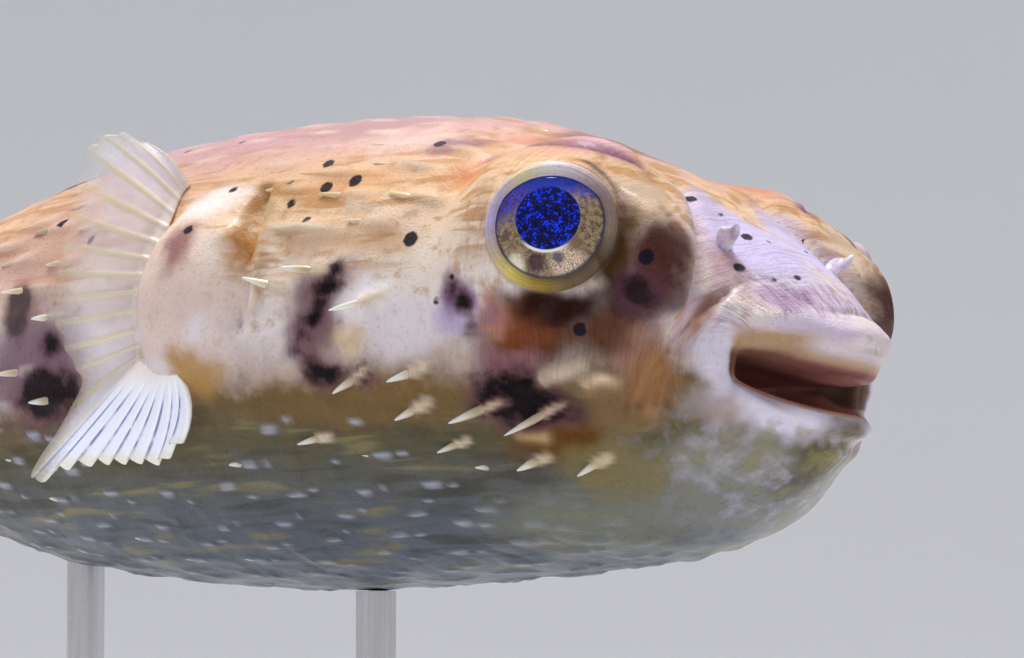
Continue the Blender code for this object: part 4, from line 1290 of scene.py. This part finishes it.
def makeSpineMaterial():
    made, tree = newMaterial("spineBone")
    marks = addNode(tree, "ShaderNodeGroup", node_tree=markingsGroup).outputs
    rise, place = attribute(tree, "rise", "Fac"), attribute(tree, "place")
    grain = noiseNode(place, 2.4, 2.0)
    bone = mixColour(ramp(grain, 0.3, 0.7), (0.8, 0.74, 0.62), (0.92, 0.9, 0.86))
    tip = mixColour(ramp(rise, 0.75, 1.0), bone, (0.95, 0.93, 0.86))
    cover = ramp(split(place)[2], 6.0, 15.0, 0.0, 0.46)
    bare = calc("SUBTRACT", roughened(rise, grain, 0.2), cover)
    foot = mixColour(0.6, marks["Colour"], (0.84, 0.66, 0.4))
    settings = {
        **flesh(0.35, (1.0, 0.8, 0.6), 0.0012),
        "Base Color": mixColour(ramp(bare, 0.42, 0.8), foot, tip),
        "Roughness": 0.35,
        "Coat Weight": 0.5,
        "Coat Roughness": 0.12,
    }
    return dress(made, settings, (noiseNode(place, 5.0, 2.0), 0.3, 0.0001))


# rings of one spine: how far up, thickness, and how far it lies back
spineRings = [
    (0, 0.3, 0), (0.16, 0.6, 0), (0.32, 0.86, 0), (0.48, 0.92, 0),
    (0.68, 0.7, 0.006), (0.88, 0.38, 0.02), (0.97, 0.16, 0.03),
]
spineSides = 7


# one spine, a unit long, lying back a little towards its tip
def spineShape(material):
    turns = [2 * math.pi * k / spineSides for k in range(spineSides)]
    points = [
        (math.cos(turn) * thick * 0.1, math.sin(turn) * thick * 0.1 - droop, reach)
        for reach, thick, droop in spineRings
        for turn in turns
    ]
    top = len(points) - spineSides
    points.append((0, -0.05, 1.0))
    faces = gridFaces(len(spineRings), spineSides)
    faces += [(top + k, top + (k + 1) % spineSides, len(points) - 1) for k in range(spineSides)]
    faces.append(tuple(range(spineSides))[::-1])
    made = meshObject("one_spine", points, faces, material, Matrix.Identity(4))
    setAttributes(made.data, rise=[point[2] for point in points])
    return made


# stands a spine on each root, along its own direction and with its own length
def spineTree(material):
    tree = bpy.data.node_groups.new("standSpines", "GeometryNodeTree")
    kinds = {
        "Geometry": "Geometry",
        "Spine": "Object",
        "Length": "Float",
        "Thickness": "Float",
        "Seed": "Int",
    }
    keys = {}
    for label, kind in kinds.items():
        socket = tree.interface.new_socket(label, in_out="INPUT", socket_type="NodeSocket" + kind)
        keys[label] = socket.identifier
    tree.interface.new_socket("Geometry", in_out="OUTPUT", socket_type="NodeSocketGeometry")
    given, out = tree.nodes.new("NodeGroupInput").outputs, tree.nodes.new("NodeGroupOutput").inputs

    def named(name, kind="FLOAT_VECTOR"):
        return addNode(tree, "GeometryNodeInputNamedAttribute", {"Name": name}, data_type=kind).outputs[0]

    align = "FunctionNodeAlignRotationToVector"
    stand = addNode(tree, align, {"Vector": named("axis")}, axis="Z").outputs[0]
    lean = addNode(tree, align, {"Rotation": stand, "Vector": named("over")}, axis="Y", pivot_axis="Z")
    chance = {"Seed": given["Seed"], 2: 0.88, 3: 1.12}
    jitter = addNode(tree, "FunctionNodeRandomValue", chance, data_type="FLOAT").outputs[1]
    reach, width = times(given["Length"], named("share", "FLOAT")), times(given["Thickness"], jitter)
    size = addNode(tree, "ShaderNodeCombineXYZ", {0: width, 1: width, 2: reach}).outputs[0]
    shape = addNode(tree, "GeometryNodeObjectInfo", {"Object": given["Spine"]}).outputs["Geometry"]
    inputs = {"Points": given["Geometry"], "Instance": shape, "Rotation": lean.outputs[0], "Scale": size}
    placed = addNode(tree, "GeometryNodeInstanceOnPoints", inputs).outputs[0]
    solid = addNode(tree, "GeometryNodeRealizeInstances", {"Geometry": placed}).outputs[0]
    dressed = addNode(tree, "GeometryNodeSetMaterial", {"Geometry": solid, "Material": material})
    feed(out[0], dressed.outputs[0])
    return tree, keys


def makeSpines():
    material = makeSpineMaterial()
    columns = list(zip(*rootList))
    roots, normals, backs, along, around, leans, lengths, sunk = (np.array(column) for column in columns[:8])
    leans = np.radians(leans)[:, None]
    turn = np.array(fishToWorld.to_3x3().normalized())
    holder = meshObject("spine_roots", roots - sunk[:, None] * normals, [], material)
    colour, edges = paintFields(roots)
    setAttributes(
        holder.data,
        axis=(np.cos(leans) * backs + np.sin(leans) * normals) @ turn.T,
        over=normals @ turn.T,
        share=lengths / spines["length"],
        wrap=np.stack([around / (2 * math.pi), along / tailPlace, 0 * along], -1),
        place=roots,
        lie=np.stack([along, 22 * np.sin(around), 22 * np.cos(around)], -1),
        wash=colour,
        edges=edges,
    )
    one = spineShape(material)
    tree, keys = spineTree(material)
    grow = holder.modifiers.new("Spines", "NODES")
    grow.node_group = tree
    grow[keys["Spine"]] = one
    grow[keys["Length"]] = spines["length"] * mm
    grow[keys["Thickness"]] = spines["radius"] * 10 * mm
    grow[keys["Seed"]] = spines["seed"]
    mesh = evaluatedMesh(holder)
    bpy.data.objects.remove(one, do_unlink=True)
    mesh.name = "spines"
    mesh.shade_smooth()
    made = addObject("spines", mesh)

    # each spine is a small round patch at its root's place on the unwrapped skin
    wrap, rise = getAttribute(mesh, "wrap", 3)[:, :2], getAttribute(mesh, "rise", 1)
    each = len(mesh.vertices) // len(rootList)
    turnRound = 2 * math.pi * (np.arange(len(mesh.vertices)) % each % spineSides) / spineSides
    patch = np.stack([np.cos(turnRound), np.sin(turnRound)], -1) * (1 - rise * 0.9) * spines["patch"]
    corner = np.zeros(len(mesh.loops), np.int32)
    mesh.loops.foreach_get("vertex_index", corner)
    layer = mesh.uv_layers.new(name="OFBake")
    layer.data.foreach_set("uv", (wrap + patch)[corner].ravel())
    finished(made, [])
    print("spines", len(rootList), "with", triangleCount(mesh), "triangles")


makeSpines()

# small dark spots in the iris: place across the gaze, size, colour
irisSpots = [
    ((-0.9, -4.6), 1.2, (0.06, 0.025, 0.015)),
    ((1.6, -3.9), 0.7, (0.09, 0.08, 0.1)),
    ((-4.6, -1.8), 0.7, (0.16, 0.09, 0.07)),
    ((3.3, -2.2), 0.8, (0.24, 0.14, 0.07)),
]


def makeEyeMaterial():
    made, tree = newMaterial("eyeGlass")
    gaze = attribute(tree, "gaze")
    right, up, out = split(gaze)
    flat = vectorCalc("MULTIPLY", gaze, (1, 1, 0))[0]
    blur = noiseNode(flat, 0.8, 3.0, 0.6)
    mid = noiseNode(flat, 1.9, 4.0, 0.65, distortion=0.4)
    fine = noiseNode(flat, 7.0, 3.0, 0.7)
    clumps = noiseNode(flat, 1.1, 3.0, 0.65)
    dots = noiseNode(flat, 4.6, 1.5, 0.6)
    flakes = roughened(voronoi(flat, 3.9), dots, 1.0)
    flakes = calc("SUBTRACT", flakes, ramp(clumps, 0.36, 0.62, 0.06, 0.5))
    grains = ramp(flakes, 0.12, -0.16)

    def awayFrom(across, above):
        return vectorCalc("DISTANCE", flat, (across, above, 0))["Value"]

    # iris: mottled gold and tan, brown towards the top and the back
    topBack = calc("SUBTRACT", up, times(right, 0.55))
    cells = voronoi(flat, 3.6, "DISTANCE_TO_EDGE")
    crackle = mixColour(ramp(cells, 0.02, 0.14), (0.34, 0.2, 0.13), (0.9, 0.72, 0.52))
    iris = coated(
        mixColour(ramp(mid, 0.36, 0.64), (0.13, 0.075, 0.03), (0.4, 0.3, 0.13)),
        (ramp(fine, 0.5, 0.72, 0.0, 0.7), (0.72, 0.58, 0.36)),
        (ramp(roughened(topBack, mid, 3.0), 1.6, 4.6, 0.0, 0.93), (0.045, 0.02, 0.035)),
        (ramp(roughened(awayFrom(-3.3, -5.0), mid, 2.4), 1.7, 0.5), (0.9, 0.84, 0.62)),
        (times(ramp(roughened(awayFrom(2.6, -4.3), fine, 2.2), 2.5, 1.2), 0.9), crackle),
    )
    for spot, size, tint in irisSpots:
        away = roughened(awayFrom(*spot), mid, 1.2)
        iris = mixColour(ramp(away, size * 1.3, size * 0.5, 0.0, 0.9), iris, tint)

    # blue specks over the top of the iris, a haze at the very top, and a pale rim below the pupil
    blueTop = ramp(calc("ADD", topBack, times(right, 0.2)), 0.0, 3.6)
    edge = awayFrom(0.0, 0.32)
    iris = coated(
        iris,
        (times(ramp(dots, 0.5, 0.6), calc("ADD", blueTop, 0.08)), (0.05, 0.06, 0.95)),
        (times(ramp(up, 2.6, 4.6), ramp(blur, 0.3, 0.6, 0.7, 1.0)), (0.008, 0.035, 0.36)),
        (times(ramp(edge, 3.45, 3.62), ramp(edge, 4.02, 3.78), ramp(up, -2.2, -3.2)), (0.95, 0.93, 0.85)),
    )

    # pupil: dense blue specks, which glow a little
    deepBlue = mixColour(ramp(clumps, 0.36, 0.6), (0.0003, 0.001, 0.012), (0.0008, 0.006, 0.11))
    pupil = mixColour(grains, deepBlue, (0.008, 0.045, 1.0))
    colour = coated(
        mixColour(ramp(edge, 3.52, 3.66), pupil, iris),
        (times(ramp(out, 5.75, 6.0), ramp(out, 6.5, 6.2), 0.85), (0.03, 0.035, 0.1)),
        (ramp(out, 6.25, 6.6), (0.26, 0.19, 0.1)),
    )
    settings = {
        "Base Color": colour,
        "Roughness": 0.35,
        "Specular IOR Level": 0.0,
        "Coat Weight": 0.7,
        "Coat Roughness": 0.02,
        "Coat IOR": 1.38,
        "Emission Color": mixColour(times(ramp(edge, 3.6, 3.4), grains), (0, 0, 0), (0.0, 0.02, 0.9)),
        "Emission Strength": 0.3,
    }
    return dress(made, settings)


# a ball turned about its gaze; its rings are closest where the iris is
def makeEye(side, label, material):
    centre, *axes = eyeFrame(side)
    radius, spokes = eyes["radius"], eyes["ballSpokes"]
    angles = np.radians(np.concatenate([np.linspace(*eyes[key]) for key in ("front", "rear")]))
    points, gaze = [centre + axes[0] * radius], [(0.0, 0.0, 0.0)]
    for angle in angles:
        out = math.sin(min(angle, math.pi / 2)) * radius
        for k in range(spokes):
            turn = 2 * math.pi * k / spokes
            points.append(centre + wayOut(axes, angle, turn) * radius)
            gaze.append((out * math.cos(turn), out * math.sin(turn), out))
    points.append(centre - axes[0] * radius)
    gaze.append((0, 0, radius))
    rear = 1 + (len(angles) - 1) * spokes
    faces = fanFaces(0, 1, spokes) + gridFaces(len(angles), spokes, start=1, flipped=True)
    faces += [face[::-1] for face in fanFaces(len(points) - 1, rear, spokes)]
    made = meshObject("eyeball_" + label, points, faces, material)
    setAttributes(made.data, gaze=gaze)
    turnOutwards(made)
    finished(made, ["eye_" + label])


bothSides = ((1.0, "left"), (-1.0, "right"))
eyeMaterial = makeEyeMaterial()
for side, label in bothSides:
    makeEye(side, label, eyeMaterial)
print("eyes")

# root of each ray: distance behind the lips and height; then how far its tip goes back, out and up
pectoral = {
    "rays": (
        ((86.5, 20), (3.5, 2, 6)),
        ((86.5, 18.5), (6.5, 3.5, 8)),
        ((86, 16), (8.5, 4.5, 8.5)),
        ((85.5, 13), (9, 4.5, 5)),
        ((85.5, 10), (8.5, 4.5, 2.5)),
        ((85.5, 7), (8, 4.5, 0)),
        ((85.5, 4), (8, 4.5, -1.5)),
        ((86, 1), (7, 3.5, -2.5)),
        ((86.5, -1), (6, 2.5, -4.5)),
        ((86.5, -2), (10, 5, -14.5)),
        ((85.5, -2.5), (7.5, 4, -13)),
        ((84, -3), (5, 3, -11.5)),
        ((82.5, -3.5), (3, 2, -11)),
        ((81, -3.5), (1, 1, -11)),
        ((80, -3.5), (-1.5, 0.5, -11)),
        ((79.5, -3.5), (-3.5, 0.5, -8.5)),
    ),
    "count": 22,
    "arch": (1.2, 2),  # how far the first and the last rays bow forwards
    "fold": 0.55,  # depth of the pleats in the lower fan
    "ripple": 0.35,
    "seen": (0.88, 0.84, 0.68, 0.46, 0.33, 0.3, 0.32, 0.4, 0.55, 0.92, 1, 1, 1, 1, 1, 1),
}

medianFins = {
    "dorsal": {
        "roots": [(-143, 0, 19.4), (-145.8, 0, 18.1), (-148.5, 0, 16.8), (-151.2, 0, 15.7),
                 (-153.8, 0, 14.6)],
        "tips": [(-148.5, 0, 32), (-156, 0, 40.5), (-164, 0, 42), (-168.5, 0, 36), (-165, 0, 25)],
        "count": 13,
        "seen": (0.94, 0.86, 0.86, 0.94),
    },
    "anal": {
        "roots": [(-143, 0, -16.6), (-145.8, 0, -15.5), (-148.5, 0, -14.6), (-151.2, 0, -13.6),
                 (-153.8, 0, -12.3)],
        "tips": [(-147.5, 0, -26.5), (-154, 0, -34), (-162, 0, -36), (-167.5, 0, -30.5),
                (-165, 0, -20.5)],
        "count": 12,
        "seen": (0.94, 0.86, 0.86, 0.94),
    },
    "caudal": {
        "roots": [(-183.5, 0, 7.6), (-184.5, 0, 4.2), (-185, 0, 0.4), (-184.5, 0, -3.2),
                 (-183.5, 0, -6.8)],
        "tips": [(-203, 0, 15.5), (-215, 0, 11.5), (-219, 0, 0.4), (-215, 0, -10.5), (-203, 0, -14.7)],
        "count": 10,
        "seen": (0.96, 0.88, 0.88, 0.96),
    },
}


def bent(points):
    points = np.array(points, float)
    points[..., 1] -= tailShift(points)
    return points


def flankPoint(distance, height):
    points = bodySurface(alongAt(distance), np.linspace(0.2, math.pi - 0.2, 200))
    return points[int(np.argmin(np.abs(points[:, 2] - height)))]


def makeFinMaterial():
    made, tree = newMaterial("finMembrane")
    reach, ray, fold = split(attribute(tree, "fan"))
    seen, place = attribute(tree, "seen", "Fac"), attribute(tree, "place")
    cloud = noiseNode(place, 0.35, 3.0, 0.6)
    fine = noiseNode(place, 2.2, 3.0, 0.6)
    onRay = ramp(ray, 0.55, 1.0, 0.0, 0.8)
    gap = times(ramp(ray, 0.2, 0.02), ramp(reach, 0.18, 0.5), fold, ramp(cloud, 0.34, 0.5, 0.35, 0.9))
    colour = coated(
        mixColour(ramp(cloud, 0.3, 0.7), (0.84, 0.76, 0.84), (0.92, 0.88, 0.98)),
        (fold, (0.82, 0.85, 0.98)),
        (onRay, mixColour(fold, (0.86, 0.76, 0.5), (0.96, 0.96, 1.0))),
        (gap, (0.13, 0.16, 0.36)),
        (times(ramp(roughened(reach, cloud, 0.3), 0.3, 0.06), 0.85), (0.86, 0.76, 0.7)),
        (times(ramp(roughened(reach, fine, 0.14), 0.86, 0.98), 0.5), (0.72, 0.66, 0.36)),
    )
    solid = calc("MAXIMUM", calc("MAXIMUM", seen, times(onRay, 0.9)), ramp(reach, 0.22, 0.06))
    thin = ramp(roughened(reach, fine, 0.2), 0.55, 1.0, 1.0, 0.3)
    thin = calc("MAXIMUM", thin, ramp(seen, 0.93, 0.99))
    settings = {
        **flesh(0.3, (1.0, 0.9, 0.8), 0.0015),
        "Base Color": colour,
        "Roughness": 0.34,
        "Coat Weight": 0.3,
        "Coat Roughness": 0.2,
        # the emission is a painted glow that stands in for light coming through the web
        "Emission Color": mixColour(fold, (0.1, 0.09, 0.08), colour),  # light through the web
        "Emission Strength": 0.28,
        "Alpha": times(solid, thin),
    }
    return dress(made, settings, (fine, 0.3, 0.00015))


# all webs: half thicknesses lie between the rays, at the root, at the edge, and at least
web = {
    "columns": 12,  # to each ray
    "rows": 44,
    "buried": 1.2,
    "scallop": 0.045,
    "rootHalf": 0.32,
    "edgeHalf": 0.09,
    "leastHalf": 0.07,
}


# a closed web between rays: thickest on each ray, scalloped at its edge
def finSheet(name, roots, tips, shape, material, nodes):
    columns, rows = shape["count"] * web["columns"] + 1, web["rows"]
    u = np.linspace(0, 1, columns)
    root, tip = blended(roots, u), blended(tips, u)
    phase = u * shape["count"]
    onRay = 0.5 + 0.5 * np.cos(2 * math.pi * phase)
    scallop = 1 - web["scallop"] + web["scallop"] * onRay**0.7
    reach = np.linspace(0, 1, rows)[:, None]
    start = root - web["buried"] * unit(np.mean(tip - root, axis=0))
    end = start + (tip - start) * scallop[:, None]
    line = start[None] * (1 - reach[..., None]) + end[None] * reach[..., None]
    bow = shape["arch"][0] * (1 - u) ** 8 + shape["arch"][1] * u**6
    line[..., 0] += bow * 4 * reach * (1 - reach)
    side = unit(np.cross(np.gradient(line, axis=1), np.gradient(line, axis=0)))
    fold = (smoothStep(0.56, 0.64, u) if shape["fold"] else 0.0) * np.ones(columns)
    wave = np.sin(phase * math.pi + 1.6 * reach) * 0.55 + np.sin(phase * 0.73 * math.pi + 0.7) * 0.6
    wave = shape["ripple"] * reach**1.4 * wave
    pleat = shape["fold"] * reach**0.8 * np.cos(2 * math.pi * phase)
    line = line + side * (wave * (1 - 0.5 * fold) + pleat * fold)[..., None]

    # each ray is a bar that forks towards its tip
    bar = np.clip((onRay[None] - 0.7) / 0.3, 0, 1) ** 0.8
    forks = 0.5 + 0.5 * np.cos(4 * math.pi * phase)
    outer = smoothStep(0.45, 0.9, reach)
    forked = np.clip((forks[None] - 0.5) / 0.5, 0, 1) * (bar > 0.02)
    bar = np.clip(outer * forked + bar * (1 - outer), 0, 1)
    joints = 1 + 0.08 * np.cos(reach * 60)
    half = (1 - reach) * web["rootHalf"] + reach * web["edgeHalf"]
    half = half + bar * joints * (0.2 - 0.14 * reach)
    half = np.maximum(half, web["leastHalf"])[..., None]
    points = np.concatenate([(line + side * half).reshape(-1, 3), (line - side * half).reshape(-1, 3)])
    each = rows * columns
    faces = []
    for quad in gridFaces(rows, columns, closed=False):
        faces += [quad, tuple(each + k for k in reversed(quad))]
    edge = list(range(columns))
    edge += [i * columns + columns - 1 for i in range(1, rows)]
    edge += [(rows - 1) * columns + j for j in range(columns - 2, -1, -1)]
    edge += [i * columns for i in range(rows - 2, 0, -1)]
    faces += [(a, each + a, each + b, b) for a, b in zip(edge, edge[1:] + edge[:1])]
    made = meshObject(name, points, faces, material)
    fan = np.stack(np.broadcast_arrays(reach, onRay, fold), -1).reshape(-1, 3)
    seen = (np.interp(u, np.linspace(0, 1, len(shape["seen"])), shape["seen"]) + 0 * reach).ravel()
    setAttributes(made.data, fan=np.concatenate([fan] * 2), seen=np.concatenate([seen] * 2), place=points)
    turnOutwards(made)
    finished(made, nodes)


def makeFins():
    material = makeFinMaterial()
    roots = np.array([flankPoint(*root) for root, _ in pectoral["rays"]])
    tips = roots + np.array([(-back, out, up) for _, (back, out, up) in pectoral["rays"]])
    for side, label in bothSides:
        lines = []
        for points in (roots, tips):
            laid = points.copy()
            laid[:, 1] += tailShift(laid)
            lines.append(bent(laid * np.array([1, side, 1])))
        finSheet("pectoral_web_" + label, *lines, pectoral, material, ["fin_pectoral_" + label])
    plain = {"arch": (0.0, 0.0), "fold": 0.0, "ripple": 0.3}
    for name, shape in medianFins.items():
        lines = bent(shape["roots"]), bent(shape["tips"])
        finSheet(name + "_web", *lines, {**plain, **shape}, material, ["fin_" + name])
    print("fins")


makeFins()

flaps = {
    "along": 12.4,
    "turn": 25.5,
    "voxel": 0.16,
    "soften": 6,
    # middle and size of each lobe: ahead, out, up
    "lobes": [
        ((-0.1, 0.0, -0.2), (1.15, 0.7, 1.3)),
        ((0.1, 0.0, 1.1), (1.05, 0.5, 1.5)),
        ((0.75, 0.0, 2.3), (0.62, 0.4, 1.3)),
        ((-0.7, 0.0, 1.0), (0.7, 0.42, 1.2)),
    ],
}


def makeFlapMaterial():
    made, tree = newMaterial("nostrilFlap")
    cloud = noiseNode(attribute(tree, "place"), 0.9, 3.0, 0.6)
    settings = {
        **flesh(0.4, (1.0, 0.8, 0.8), 0.0012),
        "Base Color": mixColour(ramp(cloud, 0.3, 0.7), (0.52, 0.44, 0.54), (0.8, 0.76, 0.84)),
        "Roughness": 0.4,
        "Coat Weight": 0.4,
        "Coat Roughness": 0.18,
    }
    return dress(made, settings, (cloud, 0.4, 0.0003))


# rounded lobes that stand on one short stem, melted into one skin
def makeFlap(side, label, material):
    along, around = alongAt(flaps["along"]), side * math.radians(flaps["turn"])
    base, normal = bodySurface(along, around), bodyNormal(along, around)
    forward = unit(np.array([1.0, 0, 0]) - normal[0] * normal)
    out = np.cross(normal, forward)
    shape = bmesh.new()
    for middle, size in flaps["lobes"]:
        for v in bmesh.ops.create_icosphere(shape, subdivisions=3, radius=1.0)["verts"]:
            x, y, z = (v.co[k] * size[k] + middle[k] for k in range(3))
            v.co = Vector(base + x * forward + y * out + z * normal)
    mesh = bpy.data.meshes.new("flap")
    shape.to_mesh(mesh)
    shape.free()
    lump = addObject("flap", mesh)
    melt = lump.modifiers.new("Melt", "REMESH")
    melt.mode = "VOXEL"
    melt.voxel_size = flaps["voxel"]
    lump.modifiers.new("Soften", "SMOOTH").iterations = flaps["soften"]
    ready = evaluatedMesh(lump)
    points = np.array([v.co for v in ready.vertices])
    faces = [tuple(p.vertices) for p in ready.polygons]
    made = meshObject("nostril_flap_" + label, points, faces, material)
    setAttributes(made.data, place=points)
    turnOutwards(made)
    finished(made, ["nasal_tentacle_" + label])


flapMaterial = makeFlapMaterial()
for side, label in bothSides:
    makeFlap(side, label, flapMaterial)
print("nostril flaps")


def objectPlace(tree):
    return addNode(tree, "ShaderNodeTexCoord").outputs["Object"]


def makeWalnut():
    made, tree = newMaterial("oiledWalnut")
    place = objectPlace(tree)
    rings = noiseNode(place, 30.0, 4.0, 0.6, stretch=(0.25, 2.2, 1.4), distortion=1.2)
    grain = noiseNode(place, 400.0, 3.0, 0.7, stretch=(0.06, 1.0, 1.0))
    tones = [(0.3, (0.035, 0.016, 0.008)), (0.5, (0.1, 0.048, 0.022)), (0.7, (0.17, 0.085, 0.04))]
    dark = ramp(grain, 0.45, 0.7, 0.0, 0.5)
    settings = {
        "Base Color": mixColour(dark, colourRamp(rings, tones), (0.025, 0.012, 0.007)),
        "Roughness": ramp(grain, 0.3, 0.7, 0.38, 0.55),
        "Coat Weight": 0.25,
        "Coat Roughness": 0.25,
    }
    return dress(made, settings, (grain, 0.3, 0.0002))


def makeSteel():
    made, tree = newMaterial("brushedSteel")
    brush = noiseNode(objectPlace(tree), 900.0, 3.0, 0.6, stretch=(1.0, 1.0, 0.03))
    settings = {
        "Base Color": mixColour(brush, (0.46, 0.46, 0.47), (0.66, 0.66, 0.67)),
        "Roughness": ramp(brush, 0.3, 0.7, 0.22, 0.38),
        "Metallic": 1.0,
    }
    return dress(made, settings, (brush, 0.2, 0.00005))


# the stand keeps the frame's own solids, in walnut and brushed steel
def dressStand():
    wood, steel = makeWalnut(), makeSteel()
    for name, finish in (("stand_base", wood), ("stand_rod_front", steel), ("stand_rod_rear", steel)):
        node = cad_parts[name]
        node.data.materials.clear()
        node.data.materials.append(finish)


dressStand()
print("stand")

studio = {
    "flat": 1.2,
    "rise": 0.5,
    "wall": 1.6,
    "tone": (0.8, 0.81, 0.83),
    "lampPlace": (-0.18, 0.1, 1.05),
    "lampAim": (0.02, 0.0, 0.1),
    "lampColour": (1.0, 0.97, 0.94),
    "lampSize": 0.42,
    "lampPower": 10.8,
    "air": (0.94, 0.94, 1.0),
    "airStrength": 0.57,
}


# a wide pale disc that sweeps up at its edge
def makeFloor():
    flat, rise, sides = studio["flat"], studio["rise"], 96
    profile = [(0.3, 0.0), (0.7, 0.0), (flat, 0.0)]
    for k in range(1, 13):
        turn = math.pi / 2 * k / 12
        profile.append((flat + rise * math.sin(turn), rise * (1 - math.cos(turn))))
    profile.append((flat + rise, studio["wall"]))
    points = [(0, 0, 0)]
    for reach, height in profile:
        for k in range(sides):
            turn = 2 * math.pi * k / sides
            points.append((reach * math.cos(turn), reach * math.sin(turn), height))
    faces = fanFaces(0, 1, sides) + gridFaces(len(profile), sides, start=1, flipped=True)
    finish, tree = newMaterial("studioFloor")
    low = tuple(0.97 * c for c in studio["tone"])
    grain = noiseNode(objectPlace(tree), 6.0, 3.0)
    dress(finish, {"Base Color": mixColour(grain, low, studio["tone"]), "Roughness": 0.85})
    floor = meshObject("studio_floor", points, faces, finish, Matrix.Identity(4))


def makeLights():
    lamp = bpy.data.lights.new("overheadLamp", "AREA")
    lamp.shape = "DISK"
    lamp.size = studio["lampSize"]
    lamp.energy = studio["lampPower"]
    lamp.color = studio["lampColour"]
    made = addObject("overheadLamp", lamp)
    made.location = studio["lampPlace"]
    way = Vector(studio["lampAim"]) - Vector(studio["lampPlace"])
    made.rotation_euler = way.to_track_quat("-Z", "Y").to_euler()
    world = bpy.data.worlds.new("studioAir")
    bpy.context.scene.world = world
    world.use_nodes = True
    sky = world.node_tree.nodes["Background"]
    feed(sky.inputs["Color"], studio["air"])
    feed(sky.inputs["Strength"], studio["airStrength"])
    bpy.context.scene.view_settings.view_transform = "Standard"


# the camera's axes and the point it looks at, in the fish's own frame
view = {
    "right": (0.74850818, 0.66112586, 0.05145959),
    "up": (0.08287906, -0.17026138, 0.98190739),
    "back": (0.65792595, -0.7307008, -0.18223553),
    "target": (-27.0, -23.6, 11.0),
    "slide": (-4.42, -11.6),
    "distance": 400.0,
    "lens": 127.4,
}


def makeCamera():
    right, up, back = (Vector(view[key]) for key in ("right", "up", "back"))
    aim = Vector(view["target"]) + view["slide"][0] * right + view["slide"][1] * up
    place = Vector(view["target"]) + view["distance"] * back
    camera = bpy.data.cameras.new("camera")
    camera.lens = view["lens"]
    camera.sensor_width = 36.0
    camera.clip_start = 0.01
    made = addObject("camera", camera)
    turn = fishToWorld.to_3x3().normalized()
    look = (turn @ (aim - place)).normalized()
    side = look.cross(turn @ up).normalized()
    axes = Matrix((side, side.cross(look), -look)).transposed().to_4x4()
    made.matrix_world = Matrix.Translation(fishToWorld @ place) @ axes
    bpy.context.scene.camera = made


makeFloor()
makeLights()
makeCamera()
print("floor, lights and camera")
